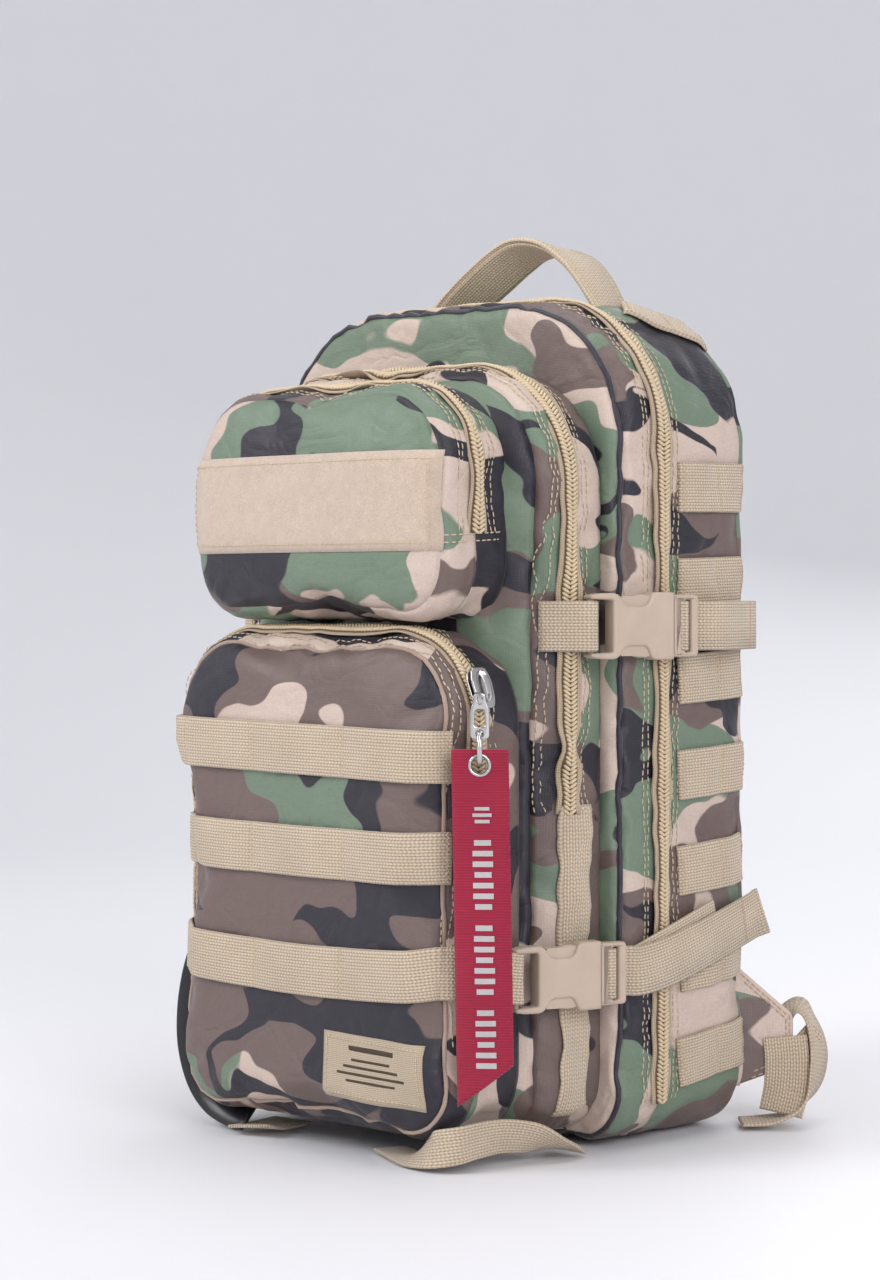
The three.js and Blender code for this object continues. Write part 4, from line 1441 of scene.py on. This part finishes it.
def build_left_sliders():
    for level in ("main", "middle", "upper"):
        slider = slider_piece(level + "_slider_piece", level + "_slider", UP, (-1, 0, 0), looks.bronze)
        ride_all(level + "_slider", "dark_metal", slider)
        top = top_of(level + "_pull")
        outline = rounded(mirrored_outline([(-1.0, 2.2, 1.2), (6.0, 1.8, 3.0), (14.0, 3.3, 3.0),
                                            (22.4, 3.3, 2.0)]))
        hole = rounded(mirrored_outline([(13.5, 1.5, 1.0), (20.4, 1.7, 1.0)]))
        pull = plate(level + "_pull_piece", [outline, hole, circle(1.4, 0, 0.9, 14)], 1.6, 0.55,
                     (top, (0, 0, -1), (0, 1, 0), (-1, 0, 0)), looks.bronze)
        ride_all(level + "_pull", "dark_metal", pull)
        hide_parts(level + "_pull")


def build_lower_slider():
    """The bright slider, its framed pull, the split ring and the ribbon tag that hangs on it."""
    joint = [j for j in frame["record"]["behaviour"]["joints"] if j["name"] == "lower_zip"][0]
    centre = np.array(joint["pos_m"]) / MM
    out = unit((centre_of("lower_slider") - centre) * (1, 0, 1))
    along = np.cross(out, (0, 1, 0))
    along = along if along[2] > 0 else -along
    slider = slider_piece("lower_slider_piece", "lower_slider", along, out, looks.chrome, 1.45)

    face = np.array((0.669, -0.743, 0))
    side = np.array((0.743, 0.669, 0))
    top = top_of("lower_pull")
    outline = rounded(mirrored_outline([(-1.2, 2.6, 1.6), (3.0, 3.0, 1.6), (6.0, 4.5, 2.0),
                                        (20.4, 4.5, 2.4)]))
    window = rounded(mirrored_outline([(6.4, 2.4, 1.6), (14.6, 2.6, 1.6)]))
    holes = [window, circle(1.6, 0, 1.1, 16), circle(17.6, 0, 1.6, 18)]
    pull = plate("lower_pull_piece", [outline, *holes], 1.8, 0.6, (top, (0, 0, -1), side, face),
                 looks.chrome, 3)
    link = wire("lower_pull_link", resample([top + out * -4.5, top + out * -2 + (0, 0, 1.6),
                                             top + face * 1.6 + (0, 0, 0.6), top + face * 1.7 + (0, 0, -2.6),
                                             top + (0, 0, -4.0)], 0.6), 0.8, looks.chrome)
    pull = join("lower_pull_whole", [pull, link])
    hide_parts("lower_pull")

    (_, _, low), (_, _, high) = extent("tag_ring")
    middle = centre_of("tag_ring")
    reach = (high - low) / 2 - 0.9
    turns = []
    for t in np.linspace(0, 4 * math.pi, 73):
        drift = (t / (4 * math.pi) - 0.5) * 1.7
        turns.append(middle + face * (math.sin(t) * reach * 0.72) + np.array((0, 0, math.cos(t) * reach))
                     + side * drift)
    ring = wire("tag_ring_piece", turns, 0.8, looks.chrome)
    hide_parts("tag_ring")
    for piece, body in ((slider, "lower_slider"), (pull, "lower_pull"), (ring, "tag_ring")):
        ride_all(body, "bright_metal", piece)
    build_tag(face, side)


def build_tag(face, side):
    low, high = extent("tag")
    hole = np.array([(low[0] + high[0]) / 2, (low[1] + high[1]) / 2, high[2] - 7.5])
    half, top, left_low, right_low = 13.5, high[2], low[2], low[2] + 20
    long = top - low[2]
    columns = np.linspace(-half, half, 13)
    rows, count = 60, len(columns)

    def foot(across):
        return left_low + (right_low - left_low) * (across + half) / (2 * half)

    grid = np.zeros((rows + 1, count, 3))
    for r in range(rows + 1):
        for c, across in enumerate(columns):
            z = top + (foot(across) - top) * r / rows
            t = (top - z) / long
            wave = 1.5 * math.sin(t * 5.2) * t + 0.5 * math.sin(t * 13 + across / 6) * t
            curl = -0.012 * across ** 2 * t + 0.6 * t * across / half
            grid[r, c] = hole + side * (across + 3.0 * t) + face * (wave + curl + 0.8 * t)
            grid[r, c, 2] = z
    verts = np.concatenate([(grid + face * lift).reshape(-1, 3) for lift in (0.5, -0.5)]) * MM
    uvs = [(top * MM - v[2], columns[i % count] * MM) for i, v in enumerate(verts)]
    under = (rows + 1) * count
    faces = []
    for r in range(rows):
        for c in range(count - 1):
            a = r * count + c
            faces.append((a, a + count, a + count + 1, a + 1))
            faces.append((under + a, under + a + 1, under + a + count + 1, under + a + count))
    border = border_of(rows + 1, count)
    for (r0, c0), (r1, c1) in zip(border, border[1:] + border[:1]):
        a, b = r0 * count + c0, r1 * count + c1
        faces.append((a, b, under + b, under + a))
    ribbon = make_object("tag_ribbon", verts, faces, [looks.red], uvs)
    carve(ribbon, plate("tag_drill", [circle(0, 0, 4.3)], 12, 0.1, (hole, side, UP, face), looks.red, 1))
    eyelet = plate("tag_grommet", [circle(0, 0, 5.6, 36), circle(0, 0, 3.8, 36)], 2.6, 1.05,
                   (hole, side, UP, face), looks.chrome, 4)

    def on_tag(across, z):
        """A point on the ribbon's front, from its own two directions."""
        column = np.interp(across, columns, np.arange(count))
        row = (top - z) / (top - foot(across)) * rows
        r, c = int(min(row, rows - 1)), int(min(column, count - 2))
        fr, fc = row - r, column - c
        flat = (grid[r, c] * (1 - fr) + grid[r + 1, c] * fr) * (1 - fc)
        return flat + (grid[r, c + 1] * (1 - fr) + grid[r + 1, c + 1] * fr) * fc + face * 0.75

    marks = [(174, 7.0, 1.6), (171, 9.0, 1.6), (168, 7.0, 1.6)]
    for start, bars in ((158, 7), (118, 7), (78, 6)):
        marks += [(start - k * 5.0, 9.6 if k % 3 else 8.0, 2.6) for k in range(bars)]
    points, all_faces, steps = [], [], 6
    for z, wide, high_bar in marks:
        base = len(points)
        for level in (-0.3, 0.05):
            for edge in (z - high_bar / 2, z + high_bar / 2):
                for across in np.linspace(-wide / 2, wide / 2, steps):
                    points.append((on_tag(across + 0.5, edge) + face * level) * MM)
        low0, low1, high0, high1 = (base + k * steps for k in range(4))
        for k in range(steps - 1):
            for a, b, c, d in ((high0, high0 + 1, high1 + 1, high1), (low0, low1, low1 + 1, low0 + 1),
                               (low0, low0 + 1, high0 + 1, high0), (low1, high1, high1 + 1, low1 + 1)):
                all_faces.append((a + k, b + k, c + k, d + k))
        k = steps - 1
        all_faces += [(low0, high0, high1, low1), (low0 + k, low1 + k, high1 + k, high0 + k)]
    thread = make_object("tag_bars", points, all_faces, [looks.white])
    tidy(thread)
    ride_all("tag", "tag_cloth", ribbon, eyelet, thread)
    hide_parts("tag")


# ---------------------------------------------------------------- carrying parts and trim
def loft(name, centres, across, out, halves, heights, materials, slot_of=None, around=20, power=0.62):
    """A padded strip: a soft oval section whose width and height change along a line, in metres."""
    angles = np.linspace(0, 2 * math.pi, around, endpoint=False)
    wide, high = (np.sign(way) * np.abs(way) ** power for way in (np.cos(angles), np.sin(angles)))
    n = len(centres)
    verts = (centres[:, None] + across[:, None] * (halves[:, None] * wide[None])[:, :, None]
             + out[:, None] * (heights[:, None] * high[None])[:, :, None]).reshape(-1, 3)
    lengths = arc_lengths(centres)
    uvs = [(lengths[i // around], halves[i // around] * wide[i % around]) for i in range(n * around)]
    slots = [slot_of(high[k] + high[(k + 1) % around]) if slot_of else 0 for k in range(around)]
    slots = slots * (n - 1) + [0, 0]
    return make_object(name, verts, ring_faces(n, around) + end_faces(n, around), materials, uvs, slots=slots)


def build_handle():
    """A doubled web: its feet are sewn in at the shoulders, and it turns on its way over."""
    y, top = top_of("carry_handle")[1:] - (0, 1.5)
    arch = [(-60, 414, -86), (-50, 422, -74), (-36, 432, -60), (-17, 444, -52), (0, top - 4.5, -58),
            (13, top - 0.5, -72), (28, top - 1.5, -86), (43, top - 9, -96), (54, top - 20, -98),
            (63, top - 33, -94), (72, top - 47, -90)]
    stations, inner = [], []
    for i, (x, z, turn) in enumerate(arch):
        before, after = arch[max(i - 1, 0)], arch[min(i + 1, len(arch) - 1)]
        along = unit(np.array((after[0] - before[0], 0.0, after[1] - before[1])))
        square = np.array((-along[2], 0, along[0]))
        t = math.radians(turn)
        across = square * math.cos(t) + np.array((0, 1.0, 0)) * math.sin(t)
        normal = np.cross(along, across)
        stations.append(((x, y, z), across))
        inner.append((tuple(np.array((x, y, z)) - normal * -1.9), across))
    outer = twisted("handle_web", stations, 26, 2.0)
    lining = twisted("handle_grip", inner[1:-1], 22, 1.8)
    points, normal = turning_line(stations, 2.5)
    rows = [stitches(f"handle_stitch_{way}", points, -normal, side * 10.5 * MM, 3.2, 2.3, 1.05)
            for way, side in (("front", -1), ("rear", 1))]
    for piece in (outer, lining, *rows):
        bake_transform(piece)
    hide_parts("carry_handle")
    for word, sign in (("right", 1), ("left", -1)):
        line = [(sign * x, y + back, 409) for x, back in ((68, -4), (78, 5), (88, 20), (93, 36))]
        laid_web(f"handle_foot_{word}", main_form.tree, line, [(-sign * 0.5, 0, -0.85)] * 4, (0.5,), 25, 2.4,
                 2.6, 0.6)


def quilt(points, face, seams, depth=2.6, reach=7.0):
    """Presses seams into a padded face. Each seam is an axis and a place along it."""
    q = points / MM
    near = np.min([np.abs(q[:, axis] - value) for axis, value in seams], axis=0)
    inside = np.clip((q[:, 1] - (face - 5)) / 3, 0, 1)
    q[:, 1] -= depth * np.exp(-(near / reach) ** 2) * inside
    return q * MM


def build_back_pad():
    low, high = extent("back_pad")
    outline = outline_of(low, high, 60, 40, 1.5, 4.5)
    start, face = place.main_back - 0.5, high[1] + 0.5
    profile = [(start, 0.6), (start + 3, 0.0)]
    for angle in np.linspace(0.15, 1, 4) * math.pi / 2:
        profile.append((start + 3 + (face - start - 3) * math.sin(angle), 6 * (1 - math.cos(angle))))
    seams = [(0, 0.0), (0, -52.0), (0, 52.0), (2, 112.0), (2, 212.0), (2, 312.0)]
    form = ClothForm("pad", outline, profile, {}, lambda q: quilt(q, face, seams), 4.5)
    form.faces = [f[::-1] for f in form.faces]
    pad = form.piece("back_pad_mesh", 0, math.inf, looks.mesh, 1.0)
    edge = outline.ring(0.5)
    points = np.column_stack([edge[:, 0], np.full(len(edge), start + 2.4), edge[:, 1]])
    points = np.vstack([points, points[:1]]) * MM
    outward = unit((points - points.mean(0)) * (1, 0, 1))
    binding = sweep("back_pad_binding", points, outward, web_section(4.6, 1.6), looks.binding)
    ride_all("root", "air_mesh", pad, binding)
    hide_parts("back_pad")


def build_shoulder_straps():
    for word, sign in (("right", 1), ("left", -1)):
        body, x = f"shoulder_{word}", sign * 50
        route = [(103.0, 398), (107.5, 384), (113.5, 366), (124, 320), (129, 260), (127.5, 205), (121.5, 156)]
        line = resample([(x, y, z) for y, z in route], 5.0) * MM
        across = np.tile((1.0, 0, 0), (len(line), 1))
        out = unit(np.cross(across, unit(np.gradient(line, axis=0))))
        out *= np.sign(out[:, 1:2])
        t = arc_lengths(line) / arc_lengths(line)[-1]
        halves = np.interp(t, [0, 0.06, 0.5, 0.86, 1], [27, 30, 31, 29, 17]) * MM
        heights = np.interp(t, [0, 0.03, 0.10, 0.94, 1], [1.5, 3.2, 5.4, 5.0, 2.0]) * MM
        pad = loft(f"shoulder_pad_{word}", line, across, out, halves, heights,
                   [camo(2.9 + sign, 1.3, 5.0), looks.mesh], lambda o: 1 if o < -0.9 else 0)
        pieces = [pad]
        for side, way in ((-1, "in"), (1, "out")):
            edge = line + across * (halves * side)[:, None]
            pieces.append(wire(f"shoulder_piping_{word}_{way}", edge[1:-1] / MM, 1.7, looks.binding))
            row = line + across * ((halves - 6 * MM) * side)[:, None] + out * (heights * 0.93)[:, None]
            pieces.append(stitches(f"shoulder_stitch_{word}_{way}", row[1:-1], out[1:-1]))
        face_line = (line + out * heights[:, None] * 1.02)[1:]
        into = -out[1:]
        columns = COLUMNS * 12.5 * MM
        tacks = (0.16, 0.33, 0.5, 0.67, 0.84)
        rise = bulges(len(face_line), tacks) * 1.4 * MM + 1.0 * MM
        grid = (face_line[:, None] + across[1:, None] * columns[None, :, None]
                + out[1:, None] * rise[:, None, None])
        centre_web = strip_from_grid(f"shoulder_web_{word}", grid, into, columns, 1.6, looks.webbing)
        tidy(centre_web)
        pieces += [centre_web, tack_rows(f"shoulder_tacks_{word}", grid, across[1:], into, tacks)]
        for piece in pieces:
            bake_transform(piece)
        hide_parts(f"shoulder_strap_{word}")
        build_ladder_lock(word, body)
        build_adjuster(word, sign)
    anchor = [(x, 101.2 - abs(x) / 60, 393) for x in (-84, -60, -30, 0, 30, 60, 84)]
    yoke = twisted("yoke", [(p, UP) for p in anchor], 18, 2.6, material=camo(1.1, 4.7, 2.2, (0.03, 0, -0.06)))
    seam = resample(anchor, 4.0) * MM
    normal = np.tile((0, 1.0, 0), (len(seam), 1))
    rows = [stitches(f"yoke_stitch_{k}", seam, normal, gap * MM, lift=1.6)
            for k, gap in ((1, -6.5), (2, 6.5))]
    ride_all("root", "camo_cloth", yoke, *rows)


def build_ladder_lock(word, body):
    node = f"ladder_lock_{word}"
    origin = centre_of(node)
    half = extent(node)[1][0] - origin[0]
    outline = rounded([(-half, -8, 3), (-half + 3, -11, 3), (half - 3, -11, 3), (half, -8, 3),
                       (half - 1.5, 11, 3), (-half + 1.5, 11, 3)])
    slots = [rounded([(-13, a, 0.8), (13, a, 0.8), (13, b, 0.8), (-13, b, 0.8)])
             for a, b in ((-7, -3.2), (1, 5))]
    lock = plate(node + "_piece", [outline, *slots], 4.6, 1.4, (origin, (1, 0, 0), UP, (0, -1, 0)),
                 looks.plastic, 3)
    ride_all(body, "buckle_plastic", lock)
    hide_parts(node)
    x = origin[0]
    short = [(121, 163), (119.6, 153), (118.6, 146.5), (116.4, 143), (115.6, 148), (116.4, 160)]
    holder = twisted(f"lock_web_{word}", [((x, y, z), (1, 0, 0)) for y, z in short], 24.6, 1.5, 1.2)
    ride_all(body, "webbing", holder)


def build_adjuster(word, sign):
    z = centre_of(f"ladder_lock_{word}")[2]
    path = [((50, 116.2, z + 3), (1, 0, 0)), ((50, 119.5, z + 0.2), (1, 0, 0)),
            ((50, 119.8, z - 4), (1, 0, 0)), ((50.5, 117.4, z - 12), (1, 0, 0)),
            ((54, 121, 106), (1, 0, 0.08)), ((63, 126.5, 84), (0.95, 0, 0.3)),
            ((80, 131.5, 60), (0.78, 0.1, 0.6)), ((102, 134.5, 38), (0.5, 0.1, 0.85)),
            ((124, 131.5, 27), (0.15, 0.2, 1)), ((140, 122, 27), (-0.05, 0.25, 1)),
            ((147, 113, 36), (0, 0.15, 1)), ((141, 105.8, 45), (0, 0, 1))]
    stations = [((sign * p[0], p[1], p[2]), (sign * a[0], a[1], a[2])) for p, a in path]
    long_web = twisted(f"adjuster_{word}", stations, 24.6, 1.6, 2.0)
    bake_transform(long_web)
    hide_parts(f"adjuster_web_{word}")

    corner = np.array((sign * 124.6, 88.6, 0))
    d, n = np.array((sign * 0.7071, 0.7071, 0)), np.array((sign * 0.7071, -0.7071, 0))

    def at(reach, height, off=0.0):
        return corner + d * reach + n * off + np.array((0, 0, height))

    tab = plate(f"corner_tab_{word}_cloth",
                [rounded([(-11, 20, 2), (23.5, 32, 3), (23.5, 58, 3), (-11, 88, 2)])], 2.8, 1.2,
                (corner, d, UP, n), camo(4.4 * sign, 2.1, 0.3, (-0.07, -0.08, -0.06)), 3)
    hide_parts(f"corner_tab_{word}")
    seams = []
    outline = [at(-4, 79.5), at(21.5, 57), at(21.5, 33.5), at(-4, 23.5)]
    for k, inset in enumerate((0.0, 4.0)):
        centre = at(8, 50)
        path = [np.array(p) + (centre - np.array(p)) * inset / 30 for p in outline]
        for face in (1, -1):
            pts = np.vstack([np.linspace(a, b, 12, endpoint=False) for a, b in zip(path[:-1], path[1:])])
            pts = (pts + n * face * 1.4) * MM
            seams.append(stitches(f"corner_tab_stitch_{word}_{k + 1}_{'front' if face > 0 else 'rear'}", pts,
                                  np.tile(n * face, (len(pts), 1)), material=looks.pink_thread))
    ride_all("root", "camo_cloth", tab, *seams)
    up = np.array(UP)
    curl = [(at(12, 44, -13.5), n + 0.1 * d), (at(21, 56, -13), n + 0.2 * d), (at(29, 60, -10), n - 0.3 * up),
            (at(35, 52, -6), n - 0.4 * d), (at(37.5, 37, -2), n - 0.6 * d), (at(34, 21, 1), n - 0.5 * d),
            (at(25, 9, 3), n + 0.2 * up), (at(12, 4.2, 2), n), (at(-4, 3.0, 1), n)]
    loop = twisted(f"corner_loop_{word}", curl, 22, 1.6, 2.0)
    drop = [(at(19, 47, 2.4), d), (at(20, 34, 3.2), d + 0.1 * n), (at(19, 20, 4.6), d + 0.25 * n),
            (at(16, 8, 6.5), d + 0.4 * n)]
    hanging = twisted(f"corner_web_{word}", drop, 23, 1.6, 2.0)
    ride_all("root", "webbing", loop, hanging)


def build_bottom_webs():
    """Webs that come from under the bag: a loose curl at the right, and short ends on both sides."""
    curl = [((34, -84, 2.2), (0.3, 0.95, 0)), ((56, -95, 3.0), (0.25, 0.95, 0.1)),
            ((73, -103, 8.4), (0.1, 0.6, 0.8)), ((84, -105, 11.5), (0, 0.2, 1)), ((93, -99, 13.5), (0, 0, 1)),
            ((95, -88, 14.5), (0.1, 0.1, 1)), ((98, -74, 15), (0.3, 0, 1)),
            ((104, -60, 13), (0.5, -0.1, 0.85)), ((107, -46, 8), (0.9, -0.2, 0.4)), ((104, -30, 3), (1, 0, 0))]
    loose = twisted("bottom_web_curl", curl, 18, 1.5, 2.0)
    left = [((-52, -66, 3), (1, 0.2, 0)), ((-50, -88, 3.2), (1, 0.2, 0)), ((-47, -103, 5.6), (1, 0.25, 0.1))]
    end = twisted("bottom_web_end", left, 25, 1.6, 2.0)
    low = [((60, -64, 2.6), (1, 0, 0)), ((60, -30, 2.4), (1, 0, 0)), ((60, -6, 1.6), (1, 0, 0))]
    under = twisted("bottom_web_under", low, 25, 1.4, 3.0)
    ride_all("root", "webbing", loose, end, under)


def build_rear_seam():
    """The rolled, slightly puckered seam that runs round the bag near its back."""
    points, inward = zip_path(main_form, place.main_back - 3, 22)
    place_on, normal = lay(main_form.tree, points, inward, -0.4 * MM)
    for _ in range(3):
        place_on[1:-1] = (place_on[:-2] + place_on[1:-1] + place_on[2:]) / 3
    _, across, out = frames_along(place_on, normal)
    lengths = arc_lengths(place_on) / MM
    swell = 1 + 0.2 * (np.sin(lengths * 1.1) * 0.5 + np.sin(lengths * 0.43 + 1.0) * 0.5)
    seam = loft("main_rear_seam", place_on, across, out, 2.0 * MM * swell, 1.8 * MM * (0.85 + 0.15 * swell),
                [camo(0.2, 5.5, 2.5)], around=14, power=0.85)
    ride_all("root", "camo_cloth", seam)


def build_rim():
    """The dark, glossy edge of the cloth behind the lower pocket, where it shows at the lower left."""
    curve = [(-91, 92), (-97, 76), (-100.5, 58), (-100, 40), (-93.5, 23), (-82, 12), (-66, 7), (-58, 7)]
    middle = np.array((-66, 0, 46))
    stations = []
    for x, z in curve:
        radial = unit(np.array((x, 0.0, z)) - middle)
        stations.append(((x, place.lower_face + 18, z), radial * 0.75 + np.array((0, -0.8, 0))))
    rim = twisted("lower_left_rim", stations, 15, 2.2, 2.5, looks.dark_trim)
    ride_all("root", "camo_cloth", rim)


def build_side_seams():
    """Two rows of stitches on each side of the upper pocket."""
    for word, sign in (("right", 1), ("left", -1)):
        for k, z in enumerate((302.5, 299.0)):
            line = [(sign * 89, y, z + (y + 100) * 0.06) for y in np.linspace(-101, -62, 14)]
            near, facing = lay(upper_form.tree, np.array(line) * MM, [(-sign, 0.05, 0)] * 14)
            row = stitches(f"upper_side_seam_{word}_{k + 1}", near, facing, lift=0.35)
            ride_all("root", "zip_tape", row)


# ---------------------------------------------------------------- start
looks = Looks()
place = Place()
make_camera()
make_studio()
main_form = build_main()
middle_form = build_middle()
upper_form = build_upper()
lower_form = build_lower()
build_front_rows()
build_side_rows()
build_middle_strips()
build_loop_patch()
build_label()
build_compression()
build_left_sliders()
build_lower_slider()
build_handle()
build_back_pad()
build_shoulder_straps()
build_bottom_webs()
build_rear_seam()
build_side_seams()
build_rim()

for name, node in frame["nodes"].items():
    kind = looks.webbing
    if any(word in name for word in ("socket", "plug", "prong", "lock")):
        kind = looks.plastic
    elif name in ("lower_slider", "lower_pull", "tag_ring"):
        kind = looks.chrome
    elif name.endswith("_slider") or name.endswith("_pull"):
        kind = looks.bronze
    elif name == "tag":
        kind = looks.red
    node.data.materials.clear()
    node.data.materials.append(kind)
